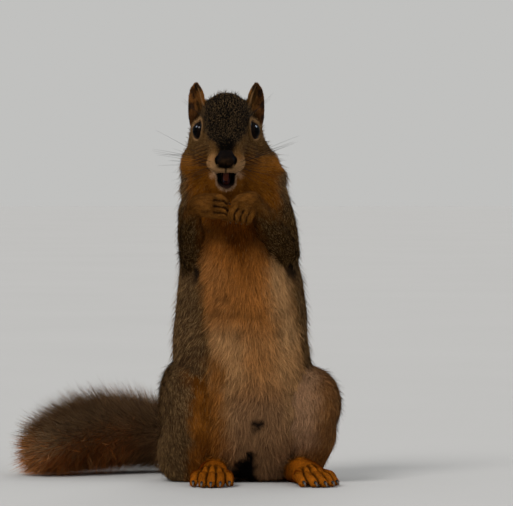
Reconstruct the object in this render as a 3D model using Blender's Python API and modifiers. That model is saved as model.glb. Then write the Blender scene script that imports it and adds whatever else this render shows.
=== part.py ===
"""A fox squirrel, life size, sitting up tall with its hands at its chest and its tail on the floor.

It faces -Y, +Z is up and the floor is Z = 0. Left and right are the animal's own, so its left side
is at +X. Each solid is the shape out to the tips of the coat.

The flesh is modelled whole, as ellipsoids strung along named lines that are fused and smoothed, and
is then parted into head, neck, trunk and limbs by thin cuts. Hands, feet and tail are fused apart,
more finely or more coarsely, and meet it at the wrists, ankles and rump. Places and radii are in
millimetres; the meshes are in metres.
"""

import math

import bmesh
import bpy
import numpy as np
from mathutils import Matrix, Vector

MM = 0.001
GAP = 0.3  # the clear space that each cut leaves, in millimetres
KEPT_AFTER_CUTS = 0.7  # the share of a parted piece's triangles that is kept; the rest are slivers
CLAIM_MARGIN = 1.2  # how far a limb's claim on the flesh reaches past its string
SIDES = {"right": -1, "left": 1}

# Fineness: voxel size in millimetres, passes of smoothing, and the triangles kept
FLESH_GRAIN = (1.5, 8, 2300)
HAND_GRAIN = (0.62, 3, 380)
FOOT_GRAIN = (0.8, 3, 440)
TAIL_GRAIN = (2.2, 6, 280)
MOUTH_GRAIN = (0.8, 2, 160)
TONGUE_GRAIN = (0.5, 2, 80)
TOOTH_GRAIN = (0.3, 1, 90)
CLAIM_GRAIN = (2.0, 4, 90)

# The head's own frame: midway between the eyes, -Y towards the nose, tipped down at the nose
HEAD_AT = Vector((-12.1, -16.0, 228.5))
HEAD_PITCH = math.radians(18)
HEAD = Matrix.Translation(HEAD_AT) @ Matrix.Rotation(HEAD_PITCH, 4, "X")

# Stations are (place, radii). A string of them is the solid that their ellipsoids sweep.
TRUNK = [
    ((2.0, 12.0, 14.0), (38.0, 30.0, 18.0)),
    ((2.0, 8.0, 32.0), (45.0, 41.0, 17.0)),
    ((1.0, 6.0, 52.0), (46.5, 45.0, 17.0)),
    ((-1.0, 4.0, 72.0), (47.0, 45.5, 16.0)),
    ((-3.0, 2.0, 92.0), (46.0, 43.0, 15.0)),
    ((-2.5, 1.0, 112.0), (44.5, 39.5, 15.0)),
    ((-3.0, 0.0, 132.0), (42.0, 36.5, 15.0)),
    ((-4.5, -1.0, 152.0), (38.5, 33.5, 15.0)),
    ((-6.5, -1.0, 170.0), (35.0, 30.0, 14.0)),
    ((-8.0, 0.0, 186.0), (33.0, 28.0, 13.0)),
    ((-8.0, 2.0, 200.0), (31.5, 25.5, 12.0)),
    ((-9.5, 3.0, 212.0), (28.5, 23.0, 11.0)),
    ((-11.5, 3.0, 224.0), (23.5, 21.0, 10.0)),
]
SHOULDERS = {
    "right": [
        ((-29.0, -2.0, 178.0), (14.5, 18.0, 21.0)), ((-28.8, -1.0, 192.0), (14.6, 16.0, 14.0)),
        ((-27.5, -1.0, 204.0), (15.5, 16.0, 18.0)),
    ],
    "left": [((14.5, -2.0, 181.0), (16.0, 18.0, 22.0)), ((13.4, 1.0, 200.0), (15.2, 15.0, 16.0))],
}
HAUNCH = {
    "right": [((-34.0, 22.0, 20.0), (25.0, 22.0, 28.0))],
    "left": [((32.0, 22.0, 20.0), (22.0, 22.0, 22.0))],
}

# The head's strings, in its own frame: skull and muzzle, temples, cheeks and whisker pad, jaw
SKULL = [
    ((0.0, 24.0, -4.0), (14.0, 9.0, 13.0)),
    ((0.0, 17.0, -1.0), (17.0, 9.0, 20.5)),
    ((0.0, 9.0, -0.5), (18.4, 9.0, 23.5)),
    ((0.0, 1.0, -1.0), (17.4, 9.0, 23.3)),
    ((0.0, -7.0, -2.5), (15.0, 9.0, 20.6)),
    ((0.0, -14.0, -5.0), (13.4, 8.0, 17.2)),
    ((0.0, -21.0, -7.5), (11.4, 7.0, 13.2)),
    ((0.0, -27.0, -9.3), (10.4, 6.0, 10.2)),
    ((0.0, -31.0, -11.0), (9.2, 4.8, 7.8)),
]
TEMPLE = [
    ((0.0, 20.0, -5.0), (16.5, 8.0, 10.5)),
    ((0.0, 9.0, -4.0), (24.4, 9.0, 14.0)),
    ((0.0, 0.0, -5.0), (19.6, 9.0, 14.5)),
    ((0.0, -7.0, -6.0), (15.6, 8.0, 13.5)),
]
CHEEK = [
    ((12.5, 6.0, -11.0), (13.0, 12.0, 13.0)),
    ((10.0, -5.0, -14.0), (10.5, 12.0, 10.0)),
    ((6.2, -25.5, -13.6), (6.9, 7.0, 6.6)),
]
JAW = [
    ((0.0, 6.0, -19.0), (18.0, 12.0, 11.0)),
    ((0.0, -7.0, -24.0), (14.0, 10.0, 8.5)),
    ((0.0, -17.0, -28.5), (11.0, 7.0, 6.4)),
    ((0.0, -23.5, -30.8), (9.2, 4.6, 5.0)),
]
# What the open mouth takes out of it, from the throat to past the lips: widest above, narrow at the chin
MOUTH_ROOF = [
    ((0.0, -12.0, -20.4), (4.4, 3.0, 1.8)),
    ((0.0, -19.0, -22.6), (6.2, 4.0, 2.6)),
    ((0.0, -27.0, -23.8), (7.6, 4.0, 3.0)),
    ((0.0, -38.0, -26.8), (8.9, 4.0, 3.8)),
]
MOUTH_FLOOR = [
    ((0.0, -13.0, -21.0), (3.8, 3.0, 2.4)),
    ((0.0, -19.0, -23.6), (5.2, 4.0, 3.6)),
    ((0.0, -27.0, -25.7), (6.3, 4.0, 4.4)),
    ((0.0, -38.0, -29.0), (7.2, 4.0, 5.8)),
]
TONGUE = [
    ((0.0, -12.5, -22.6), (2.4, 3.0, 1.5)),
    ((0.0, -18.5, -26.6), (3.1, 3.2, 1.5)),
    ((0.0, -22.0, -28.6), (2.4, 2.6, 1.2)),
]
INCISOR = [
    ((0.9, -23.5, -14.5), (1.0, 1.1, 1.5)),
    ((0.9, -25.6, -20.0), (1.0, 1.1, 1.5)),
    ((0.9, -25.4, -25.2), (0.95, 0.65, 1.2)),
]

EYE_RADIUS = 5.8
EYE_AT = Vector((15.9, -0.5, 0.0))  # the left eye, in the head's frame
EYE_SEGMENTS, EYE_RINGS = 14, 9

# The ear: a scoop that stands on the side of the head and opens forwards and outwards
EAR_ROOT = Vector((18.6, 10.0, -2.0))
EAR_HEIGHT, EAR_HALF_WIDTH, EAR_DEPTH, EAR_WALL = 29.0, 7.6, 5.0, 2.0
EAR_LEAN_OUT, EAR_LEAN_BACK, EAR_TURN = math.radians(1), math.radians(-15), math.radians(38)
EAR_ROWS, EAR_COLUMNS = 8, 6

# Limbs, side by side, because the two sides stand differently
UPPER_ARM = {
    "right": [((-31.0, -3.0, 176.0), 13.5), ((-33.0, -9.0, 160.0), 11.5), ((-32.5, -14.0, 147.0), 10.5)],
    "left": [((17.0, -3.0, 178.0), 14.5), ((22.0, -8.0, 164.0), 13.0), ((25.0, -13.0, 151.0), 11.5)],
}
FOREARM = {
    "right": [((-33.5, -16.0, 146.0), 10.0), ((-34.5, -29.0, 161.0), 8.6), ((-34.0, -40.0, 175.0), 6.4)],
    "left": [((25.5, -16.0, 150.0), 11.0), ((17.5, -31.0, 163.0), 9.8), ((9.0, -42.0, 177.5), 7.6)],
}
THIGH = {
    "right": [
        ((-30.0, 16.0, 44.0), (27.0, 29.0, 34.0)),
        ((-33.0, -5.0, 58.0), (23.5, 25.0, 28.0)),
        ((-35.0, -20.0, 57.0), (17.0, 18.0, 23.0)),
    ],
    "left": [
        ((30.0, 17.0, 42.0), (25.0, 29.0, 34.0)),
        ((37.0, -1.0, 50.0), (26.0, 26.0, 28.5)),
        ((43.0, -15.0, 52.0), (20.0, 19.0, 23.0)),
    ],
}
SHIN = {
    "right": [
        ((-34.0, -17.0, 44.0), (18.0, 18.0, 19.0)),
        ((-34.0, -3.0, 28.0), (21.0, 20.0, 19.0)),
        ((-32.0, 5.0, 13.0), (25.5, 18.0, 18.0)),
    ],
    "left": [
        ((42.0, -13.0, 44.0), (18.5, 18.0, 19.0)),
        ((40.0, 0.0, 30.0), (20.5, 20.0, 18.0)),
        ((34.0, 6.0, 14.0), (20.0, 17.0, 15.0)),
    ],
}

# A foot, in its own frame: the heel near the origin, toes towards -Y, sole at Z = 0
FOOT_AT = {"right": ((-19.5, 2.0, 0.0), math.radians(-2)), "left": ((30.0, 2.0, 0.0), math.radians(20))}
FOOT = [
    ((0.0, 2.0, 8.5), (8.0, 9.0, 9.5)),
    ((0.0, -14.0, 8.6), (8.4, 10.0, 9.0)),
    ((0.0, -28.0, 7.6), (9.4, 9.0, 8.2)),
    ((0.0, -38.0, 6.4), (10.6, 7.0, 6.8)),
]
TOE_SPREAD = (-11.6, -6.0, 0.0, 6.0, 11.6)
TOE_REACH = (-51.5, -57.5, -59.5, -57.5, -50.5)
TOE_RADIUS = 2.8

# A hand is a palm and four fingers; each finger is (knuckle, bend, tip)
PALM = {
    "right": [
        ((-34.0, -39.5, 174.5), (5.0, 5.0, 5.2)),
        ((-30.5, -45.0, 180.0), (6.6, 5.8, 6.8)),
        ((-24.5, -48.5, 180.5), (5.4, 4.8, 8.0)),
    ],
    "left": [
        ((9.5, -41.0, 176.5), (5.6, 5.6, 5.6)),
        ((4.5, -47.0, 183.5), (6.6, 5.4, 6.2)),
        ((-1.5, -49.5, 181.5), (7.2, 4.8, 6.4)),
    ],
}
FINGERS = {
    "right": [
        ((-21.5, -49.5, 186.0 - 3.9 * i), (-15.5, -51.5, 185.6 - 3.9 * i), (-12.0, -48.5, 183.0 - 3.6 * i))
        for i in range(4)
    ],
    "left": [
        ((-6.0 + 3.9 * i, -50.5, 180.0 - 1.2 * i), (-8.4 + 3.9 * i, -52.5, 175.5 - i),
         (-8.8 + 3.7 * i, -49.0, 172.0 - 0.6 * i))
        for i in range(4)
    ],
}
FINGER_RADIUS = 2.1

# The brush of the tail, from the rump round to its tip, and where it is divided, in stations
TAIL = [
    ((-4.0, 40.0, 16.0), (15.0, 15.0, 16.0)),
    ((-8.0, 62.0, 19.0), (20.0, 20.0, 20.0)),
    ((-24.0, 84.0, 23.0), (25.0, 25.0, 25.0)),
    ((-50.0, 96.0, 25.0), (28.0, 28.0, 26.5)),
    ((-80.0, 92.0, 29.0), (31.0, 31.0, 31.0)),
    ((-106.0, 78.0, 26.0), (31.0, 31.0, 31.0)),
    ((-124.0, 64.0, 20.0), (28.0, 28.0, 26.0)),
]
TAIL_CUTS = {"tail_tip": 4.4, "tail_middle": 2.5}

# Claws: length and root radius, for hands and for feet
HAND_CLAW, FOOT_CLAW = (4.6, 0.8), (5.6, 1.0)
CLAW_STEPS = 3

# The planes that part the flesh, as (point, direction of the part taken)
ELBOW_CUT = {
    "right": ((-33.0, -17.5, 148.0), (0.0, -0.97, 0.1)),
    "left": ((25.0, -18.5, 152.0), (-0.35, -0.93, 0.1)),
}
KNEE_CUT = ((0.0, -6.0, 35.0), (0.0, -0.41, -0.91))
HEAD_CUT = ((-12.0, -3.0, 208.0), (0.0, -0.55, 0.835))
NECK_CUT = ((-9.0, 0.0, 194.0), (0.0, -0.35, 0.937))
CHEST_CUT = ((0.0, 0.0, 139.0), (0.0, 0.0, 1.0))
BELLY_CUT = ((0.0, 0.0, 66.0), (0.0, -0.25, 0.968))
JAW_BLOCK = ((0.0, -27.0, -35.5), (44.0, 34.0, 20.0), math.radians(20))  # centre, size and tip

# What each material is: linear RGB, roughness
FINISHES = {
    "grizzled_coat": ((0.085, 0.058, 0.036), 0.85),
    "russet_coat": ((0.26, 0.12, 0.045), 0.85),
    "tail_coat": ((0.11, 0.065, 0.035), 0.85),
    "ear_coat": ((0.22, 0.10, 0.04), 0.8),
    "eye_gloss": ((0.006, 0.004, 0.003), 0.08),
    "claw_horn": ((0.02, 0.016, 0.013), 0.35),
    "tooth_enamel": ((0.35, 0.14, 0.03), 0.3),
    "tongue_flesh": ((0.25, 0.07, 0.06), 0.4),
}


# Loose objects ---------------------------------------------------------------------------------


def object_of(name, mesh):
    obj = bpy.data.objects.new(name, mesh)
    bpy.context.scene.collection.objects.link(obj)
    return obj


def object_from(name, bm):
    """An object made from bm, which is freed."""
    mesh = bpy.data.meshes.new(name)
    bm.to_mesh(mesh)
    bm.free()
    return object_of(name, mesh)


def discard(*objects):
    for obj in objects:
        bpy.data.objects.remove(obj, do_unlink=True)


def evaluated_mesh(obj):
    bpy.context.view_layer.update()
    graph = bpy.context.evaluated_depsgraph_get()
    return bpy.data.meshes.new_from_object(obj.evaluated_get(graph), depsgraph=graph)


def settle(obj):
    """Applies the modifiers of obj."""
    mesh = evaluated_mesh(obj)
    obj.modifiers.clear()
    obj.data = mesh
    return obj


# Ellipsoids, strings of them, and what they fuse into --------------------------------------------


def smooth_line(points, share):
    """The point at share, counted in points, of the Catmull-Rom curve through points."""
    last = len(points) - 1
    i = min(int(share), last - 1)
    t = share - i
    before, start, end, after = (points[min(max(k, 0), last)] for k in (i - 1, i, i + 1, i + 2))
    bend = (2 * before - 5 * start + 4 * end - after) * t * t
    twist = (3 * start - 3 * end + after - before) * t * t * t
    return 0.5 * (2 * start + (end - before) * t + bend + twist)


def radii_of(station):
    radii = station[1]
    return Vector(radii) if isinstance(radii, tuple) else Vector((radii, radii, radii))


def lump(place, radii, frame):
    """The matrix that makes a unit ball this ellipsoid, in metres."""
    return Matrix.Scale(MM, 4) @ frame @ Matrix.Translation(Vector(place)) @ Matrix.Diagonal((*radii, 1.0))


def string(stations, frame=Matrix.Identity(4), steps=5):
    """The ellipsoids of stations, with steps to each gap along a smooth line between them."""
    places = [Vector(place) for place, _ in stations]
    radii = [radii_of(station) for station in stations]
    shares = [k / steps for k in range(steps * (len(stations) - 1) + 1)]
    return [lump(smooth_line(places, s), smooth_line(radii, s), frame) for s in shares]


def lumps(stations, frame=Matrix.Identity(4)):
    """The ellipsoids of stations, with nothing between them."""
    return [lump(station[0], radii_of(station), frame) for station in stations]


def mirrored(stations):
    return [((-place[0], place[1], place[2]), radii) for place, radii in stations]


def grown(stations, by):
    return [(station[0], tuple(radii_of(station) + Vector((by, by, by)))) for station in stations]


def unit_ball():
    """The vertices and faces of a ball of radius 1."""
    bm = bmesh.new()
    bmesh.ops.create_uvsphere(bm, u_segments=24, v_segments=14, radius=1.0)
    corners = np.array([vertex.co for vertex in bm.verts])
    faces = [[vertex.index for vertex in face.verts] for face in bm.faces]
    bm.free()
    return corners, faces


def fuse(name, ellipsoids, grain):
    """One smooth closed surface round the ellipsoids, thinned to about the triangles wanted."""
    voxel, smoothing, triangles = grain
    corners, ball_faces = unit_ball()
    places, faces = [], []
    for k, matrix in enumerate(ellipsoids):
        turn, shift = np.array(matrix.to_3x3()), np.array(matrix.to_translation())
        places.append(corners @ turn.T + shift)
        faces += [[v + k * len(corners) for v in face] for face in ball_faces]
    mesh = bpy.data.meshes.new(name)
    mesh.from_pydata(np.concatenate(places).tolist(), [], faces)
    obj = object_of(name, mesh)
    skin = obj.modifiers.new("fuse", "REMESH")
    skin.mode, skin.voxel_size = "VOXEL", voxel * MM
    smooth = obj.modifiers.new("smooth", "SMOOTH")
    smooth.factor, smooth.iterations = 0.5, smoothing
    settle(obj)
    count = sum(len(face.vertices) - 2 for face in obj.data.polygons)
    return thin_out(obj, min(1.0, triangles / count))


def thin_out(obj, share):
    """Keeps that share of the triangles, where they show the shape best."""
    thin = obj.modifiers.new("thin", "DECIMATE")
    thin.ratio = share
    return settle(obj)


# Cuts --------------------------------------------------------------------------------------------


def swollen(obj, by=GAP):
    """A copy of obj whose surface stands out by that many millimetres, to cut its neighbours."""
    bm = bmesh.new()
    bm.from_mesh(obj.data)
    bm.normal_update()
    for vertex, normal in [(v, v.normal.copy()) for v in bm.verts]:
        vertex.co += normal * by * MM
    return object_from(obj.name + "_swollen", bm)


def boolean(obj, cutter, operation):
    modifier = obj.modifiers.new(operation.lower(), "BOOLEAN")
    modifier.operation, modifier.object, modifier.solver = operation, cutter, "EXACT"
    return settle(obj)


def make_room(obj, neighbour):
    """Cuts obj back to the gap from neighbour."""
    wider = swollen(neighbour)
    boolean(obj, wider, "DIFFERENCE")
    discard(wider)
    return keep_largest(obj)


def take(whole, claim, name):
    """Parts whole: what lies in claim becomes a new piece, and whole keeps the rest, less the gap."""
    piece = boolean(object_of(name, whole.data.copy()), claim, "INTERSECT")
    make_room(whole, claim)
    discard(claim)
    return keep_largest(piece)


def islands_of(bm):
    unseen, islands = set(bm.verts), []
    while unseen:
        island, edge = [], [unseen.pop()]
        while edge:
            vertex = edge.pop()
            island.append(vertex)
            near = [e.other_vert(vertex) for e in vertex.link_edges]
            edge += [v for v in near if v in unseen]
            unseen.difference_update(near)
        islands.append(island)
    return islands


def keep_largest(obj):
    """Drops the crumbs that a cut leaves, which have fewer vertices than the piece."""
    bm = bmesh.new()
    bm.from_mesh(obj.data)
    crumbs = sorted(islands_of(bm), key=len)[:-1]
    bmesh.ops.delete(bm, geom=[v for island in crumbs for v in island], context="VERTS")
    bm.to_mesh(obj.data)
    bm.free()
    return obj


def block(name, frame, size):
    """A box with its centre at the frame's origin, in millimetres."""
    bm = bmesh.new()
    bmesh.ops.create_cube(bm, size=1.0, matrix=Matrix.Scale(MM, 4) @ frame @ Matrix.Diagonal((*size, 1.0)))
    return object_from(name, bm)


def half_space(name, point, direction):
    """A box so large that only its one face, through point and square to direction, matters."""
    reach = 600.0
    turn = Vector(direction).to_track_quat("Z", "Y").to_matrix().to_4x4()
    frame = Matrix.Translation(Vector(point)) @ turn @ Matrix.Translation((0.0, 0.0, reach / 2))
    return block(name, frame, (reach, reach, reach))


def claim_of(name, *strings):
    """The room round strings of stations, for parting them from the flesh."""
    balls = [ball for stations in strings for ball in string(grown(stations, CLAIM_MARGIN))]
    return fuse(name, balls, CLAIM_GRAIN)


# The pieces --------------------------------------------------------------------------------------


def build_flesh():
    """Head, neck, trunk, arms to the wrist and legs to the ankle, as one closed surface."""
    balls = string(TRUNK) + string(SKULL, HEAD) + string(TEMPLE, HEAD) + string(JAW, HEAD)
    balls += lumps(CHEEK, HEAD) + lumps(mirrored(CHEEK), HEAD)
    for side in SIDES:
        balls += lumps(SHOULDERS[side]) + lumps(HAUNCH[side])
        for limb in (UPPER_ARM, FOREARM, THIGH, SHIN):
            balls += string(limb[side])
    return fuse("flesh", balls, FLESH_GRAIN)


def build_eye(side):
    place = Vector((SIDES[side] * EYE_AT.x, EYE_AT.y, EYE_AT.z))
    bm = bmesh.new()
    matrix = Matrix.Scale(MM, 4) @ HEAD @ Matrix.Translation(place)
    bmesh.ops.create_uvsphere(
        bm, u_segments=EYE_SEGMENTS, v_segments=EYE_RINGS, radius=EYE_RADIUS, matrix=matrix
    )
    return object_from("eye_" + side, bm)


def ear_frame(side):
    lean = Matrix.Rotation(EAR_LEAN_OUT, 4, "Y") @ Matrix.Rotation(EAR_LEAN_BACK, 4, "X")
    stand = Matrix.Translation(EAR_ROOT) @ lean @ Matrix.Rotation(EAR_TURN, 4, "Z")
    return HEAD @ Matrix.Scale(SIDES[side], 4, (1, 0, 0)) @ stand


def build_ear(side):
    """A pointed scoop, deepest at its root, with a wall of even thickness."""
    bm = bmesh.new()
    grid = []
    for r in range(EAR_ROWS + 1):
        up = r / EAR_ROWS
        width = EAR_HALF_WIDTH * (0.8 + 0.75 * up - 0.5 * up * up) * math.sqrt(max(1 - up ** 2.4, 0.006))
        depth = EAR_DEPTH * (1.15 - 0.75 * up)
        row = []
        for c in range(EAR_COLUMNS + 1):
            across = 2 * c / EAR_COLUMNS - 1
            bow = depth * (1 - across * across) - 2.0 * up * up
            row.append(bm.verts.new((width * across, bow, EAR_HEIGHT * up)))
        grid.append(row)
    for low, high in zip(grid, grid[1:]):
        for c in range(EAR_COLUMNS):
            bm.faces.new((low[c], low[c + 1], high[c + 1], high[c]))
    bmesh.ops.transform(bm, matrix=Matrix.Scale(MM, 4) @ ear_frame(side), verts=bm.verts)
    ear = object_from("ear_" + side, bm)
    wall = ear.modifiers.new("wall", "SOLIDIFY")
    wall.thickness, wall.offset = EAR_WALL * MM, 0.0
    settle(ear)
    return face_outwards(ear)


def face_outwards(obj):
    bm = bmesh.new()
    bm.from_mesh(obj.data)
    bmesh.ops.recalc_face_normals(bm, faces=bm.faces)
    bm.to_mesh(obj.data)
    bm.free()
    return obj


def build_incisors():
    """The upper pair, side by side as one piece: long, curved and square at the edge."""
    return fuse("incisors", string(INCISOR, HEAD) + string(mirrored(INCISOR), HEAD), TOOTH_GRAIN)


def foot_frame(side):
    heel, turn = FOOT_AT[side]
    return Matrix.Translation(Vector(heel)) @ Matrix.Rotation(turn, 4, "Z")


def toe_line(i):
    """One toe in the foot's frame: from the ball of the foot, over the knuckle, down to the tip."""
    aside, reach = TOE_SPREAD[i], TOE_REACH[i]
    return [
        ((aside * 0.72, -34.0, 6.4), TOE_RADIUS + 0.8),
        ((aside * 0.92, (reach - 36.0) / 2, 6.8), TOE_RADIUS + 0.3),
        ((aside, reach, 2.7), TOE_RADIUS),
    ]


def build_foot(side):
    balls = string(FOOT, foot_frame(side))
    for i in range(len(TOE_SPREAD)):
        balls += string(toe_line(i), foot_frame(side))
    return fuse("foot_" + side, balls, FOOT_GRAIN)


def build_hand(side):
    balls = string(PALM[side])
    swell = (0.5, 0.1, -0.1)  # knuckle, bend and tip, beside the finger's own radius
    for finger in FINGERS[side]:
        balls += string([(place, FINGER_RADIUS + more) for place, more in zip(finger, swell)])
    return fuse("hand_" + side, balls, HAND_GRAIN)


def build_tail():
    return fuse("tail", string(TAIL), TAIL_GRAIN)


def build_claw(name, root, along, down, size):
    """A hooked claw: a tube that bends down and thins to a point."""
    length, radius = size
    along, down = Vector(along).normalized(), Vector(down).normalized()
    curve = bpy.data.curves.new(name, "CURVE")
    curve.dimensions, curve.bevel_depth, curve.use_fill_caps = "3D", radius * MM, True
    curve.bevel_resolution = 1
    spline = curve.splines.new("POLY")
    spline.points.add(CLAW_STEPS)
    for k, point in enumerate(spline.points):
        t = k / CLAW_STEPS
        place = Vector(root) + along * length * (t - 0.25 * t * t) + down * length * 0.5 * t * t
        point.co = (*(place * MM), 1.0)
        point.radius = 1.0 - 0.8 * t ** 1.3
    tube = object_of(name + "_line", curve)
    bm = bmesh.new()
    bm.from_mesh(evaluated_mesh(tube))
    bmesh.ops.remove_doubles(bm, verts=bm.verts, dist=0.01 * MM)
    bmesh.ops.recalc_face_normals(bm, faces=bm.faces)
    discard(tube)
    return object_from(name, bm)


def build_claws(side, hand, foot):
    """A claw for each finger and toe, let into its end."""
    claws = []
    for i, (_, bend, tip) in enumerate(FINGERS[side]):
        along = Vector(tip) - Vector(bend)
        down = Vector((0.0, 1.0, 0.0))
        root = Vector(tip) + along.normalized() * (FINGER_RADIUS - 1.2)
        claw = build_claw("hand_claw_%s_%d" % (side, i + 1), root, along, down, HAND_CLAW)
        claws.append(make_room(claw, hand))
    frame = foot_frame(side)
    for i, reach in enumerate(TOE_REACH):
        tip = frame @ Vector((TOE_SPREAD[i], reach - TOE_RADIUS + 1.0, 3.6))
        along = frame.to_3x3() @ Vector((0.0, -1.0, 0.1))
        claw = build_claw("foot_claw_%s_%d" % (side, i + 1), tip, along, (0, 0, -1), FOOT_CLAW)
        claws.append(make_room(claw, foot))
    return claws


def part_trunk(flesh):
    """Parts the flesh, limb by limb and then by planes, and gives the pieces by name."""
    pieces = {}
    for side in SIDES:
        arm = take(flesh, claim_of("arm_claim", UPPER_ARM[side], FOREARM[side]), "upper_arm_" + side)
        leg = take(flesh, claim_of("leg_claim", THIGH[side], SHIN[side]), "thigh_" + side)
        forearm, shin = "forearm_" + side, "shin_" + side
        pieces[forearm] = take(arm, half_space("elbow", *ELBOW_CUT[side]), forearm)
        pieces[shin] = take(leg, half_space("knee", *KNEE_CUT), shin)
        pieces.update({arm.name: arm, leg.name: leg})
    for name, cut in (("head", HEAD_CUT), ("neck", NECK_CUT), ("chest", CHEST_CUT), ("belly", BELLY_CUT)):
        pieces[name] = take(flesh, half_space(name + "_cut", *cut), name)
    centre, size, tip = JAW_BLOCK
    jaw_frame = HEAD @ Matrix.Translation(Vector(centre)) @ Matrix.Rotation(tip, 4, "X")
    pieces["lower_jaw"] = take(pieces["head"], block("jaw_claim", jaw_frame, size), "lower_jaw")
    flesh.name = "rump"
    pieces["rump"] = flesh
    for piece in pieces.values():
        thin_out(piece, KEPT_AFTER_CUTS)
    return pieces


def part_tail(tail):
    """Divides the tail square to its line."""
    places = [Vector(place) for place, _ in TAIL]
    pieces = {}
    for name, share in TAIL_CUTS.items():
        point = smooth_line(places, share)
        direction = smooth_line(places, share + 0.05) - point
        pieces[name] = take(tail, half_space(name + "_cut", point, direction), name)
    tail.name = "tail_base"
    pieces["tail_base"] = tail
    return pieces


def finish_of(name):
    """The material that a piece takes, by its name."""
    kinds = {"eye": "eye_gloss", "ear": "ear_coat", "tail": "tail_coat", "incisors": "tooth_enamel",
             "tongue": "tongue_flesh", "foot": "russet_coat", "belly": "russet_coat", "chest": "russet_coat"}
    if "claw" in name:
        return "claw_horn"
    return kinds.get(name.split("_")[0], "grizzled_coat")


def add_material(obj):
    name = finish_of(obj.name)
    material = bpy.data.materials.get(name)
    if material is None:
        colour, roughness = FINISHES[name]
        material = bpy.data.materials.new(name)
        material.use_nodes = True
        shader = material.node_tree.nodes["Principled BSDF"]
        shader.inputs["Base Color"].default_value = (*colour, 1.0)
        shader.inputs["Roughness"].default_value = roughness
    obj.data.materials.clear()
    obj.data.materials.append(material)


def stand_on_origin(pieces):
    """Moves everything so that the origin is under the middle of the squirrel's box."""
    corners = [vertex.co for obj in pieces for vertex in obj.data.vertices]
    low = [min(co[axis] for co in corners) for axis in range(3)]
    high = [max(co[axis] for co in corners) for axis in range(3)]
    shift = Vector((-(low[0] + high[0]) / 2, -(low[1] + high[1]) / 2, 0.0))
    for obj in pieces:
        obj.data.transform(Matrix.Translation(shift))


def main():
    for obj in list(bpy.data.objects):
        bpy.data.objects.remove(obj, do_unlink=True)
    flesh, tail = build_flesh(), build_tail()
    hands = {side: build_hand(side) for side in SIDES}
    feet = {side: build_foot(side) for side in SIDES}

    mouth = fuse("mouth", string(MOUTH_ROOF, HEAD) + string(MOUTH_FLOOR, HEAD), MOUTH_GRAIN)
    boolean(flesh, mouth, "DIFFERENCE")
    discard(mouth)
    pieces = [build_eye(side) for side in SIDES]
    pieces += [build_incisors(), fuse("tongue", string(TONGUE, HEAD), TONGUE_GRAIN)]
    for piece in pieces:
        make_room(flesh, piece)
    pieces += [make_room(build_ear(side), flesh) for side in SIDES]
    make_room(tail, flesh)
    for side in SIDES:
        make_room(hands[side], flesh)
        make_room(feet[side], flesh)
    make_room(hands["left"], hands["right"])

    for side in SIDES:
        pieces += build_claws(side, hands[side], feet[side])
    pieces += [*hands.values(), *feet.values(), *part_trunk(flesh).values(), *part_tail(tail).values()]
    floor = half_space("floor", (0.0, 0.0, 0.0), (0.0, 0.0, -1.0))
    for piece in pieces:
        if min(vertex.co.z for vertex in piece.data.vertices) < 0.0:
            keep_largest(boolean(piece, floor, "DIFFERENCE"))
    discard(floor)

    stand_on_origin(pieces)
    squirrel = bpy.data.collections.new("squirrel")
    bpy.context.scene.collection.children.link(squirrel)
    for obj in pieces:
        bpy.context.scene.collection.objects.unlink(obj)
        squirrel.objects.link(obj)
        add_material(obj)


if __name__ == "__main__":
    main()
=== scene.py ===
"""The looks of the fox squirrel: its skin, the tufts of its coat, eyes, nose, whiskers and claws.

Places on the animal are in millimetres in the animal's own coordinates, the ones its solids were
designed in: -Y is forwards, +Z up, +X its left, and the floor is Z = 0. at() puts such a place in
the frame, in metres.
"""

import math

import bmesh
import bpy
import numpy as np
from mathutils import Matrix, Vector
from mathutils.bvhtree import BVHTree


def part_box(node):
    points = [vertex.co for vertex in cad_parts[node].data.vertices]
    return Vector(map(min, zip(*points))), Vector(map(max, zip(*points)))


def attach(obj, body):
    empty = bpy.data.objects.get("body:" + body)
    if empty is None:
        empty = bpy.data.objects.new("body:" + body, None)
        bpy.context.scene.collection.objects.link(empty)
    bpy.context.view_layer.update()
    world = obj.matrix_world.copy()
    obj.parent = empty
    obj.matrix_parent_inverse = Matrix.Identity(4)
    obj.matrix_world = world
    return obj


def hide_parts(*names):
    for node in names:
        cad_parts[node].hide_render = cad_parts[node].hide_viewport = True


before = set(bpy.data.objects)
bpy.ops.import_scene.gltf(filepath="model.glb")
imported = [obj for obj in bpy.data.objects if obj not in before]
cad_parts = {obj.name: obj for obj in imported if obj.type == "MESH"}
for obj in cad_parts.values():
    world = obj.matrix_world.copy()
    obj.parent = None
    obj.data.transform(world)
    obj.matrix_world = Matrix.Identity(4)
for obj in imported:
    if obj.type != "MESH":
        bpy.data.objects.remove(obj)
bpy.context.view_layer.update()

MM = 0.001

# The head's own frame: midway between the eyes, -Y towards the nose, tipped down at the nose
HEAD_AT = np.array((-12.1, -16.0, 228.5))
HEAD_PITCH = math.radians(18)
EYE_SET_BACK = 0.5  # how far in front of the head's middle the eyes' centres lie


def eye_middle_in_frame():
    """Midway between the eyes, in metres, from their solids."""
    corners = [corner for side in ("left", "right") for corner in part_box("eye_" + side)]
    return sum(corners, Vector()) / len(corners)


def head_to_body(places):
    """Places in the head's frame, as rows, put in the animal's coordinates."""
    places = np.atleast_2d(places)
    cos, sin = math.cos(HEAD_PITCH), math.sin(HEAD_PITCH)
    y, z = places[:, 1], places[:, 2]
    return np.stack([places[:, 0], y * cos - z * sin, y * sin + z * cos], 1) + HEAD_AT


def body_to_head(places):
    rows = np.atleast_2d(places) - HEAD_AT
    cos, sin = math.cos(HEAD_PITCH), math.sin(HEAD_PITCH)
    y, z = rows[:, 1], rows[:, 2]
    return np.stack([rows[:, 0], y * cos + z * sin, -y * sin + z * cos], 1)


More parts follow.
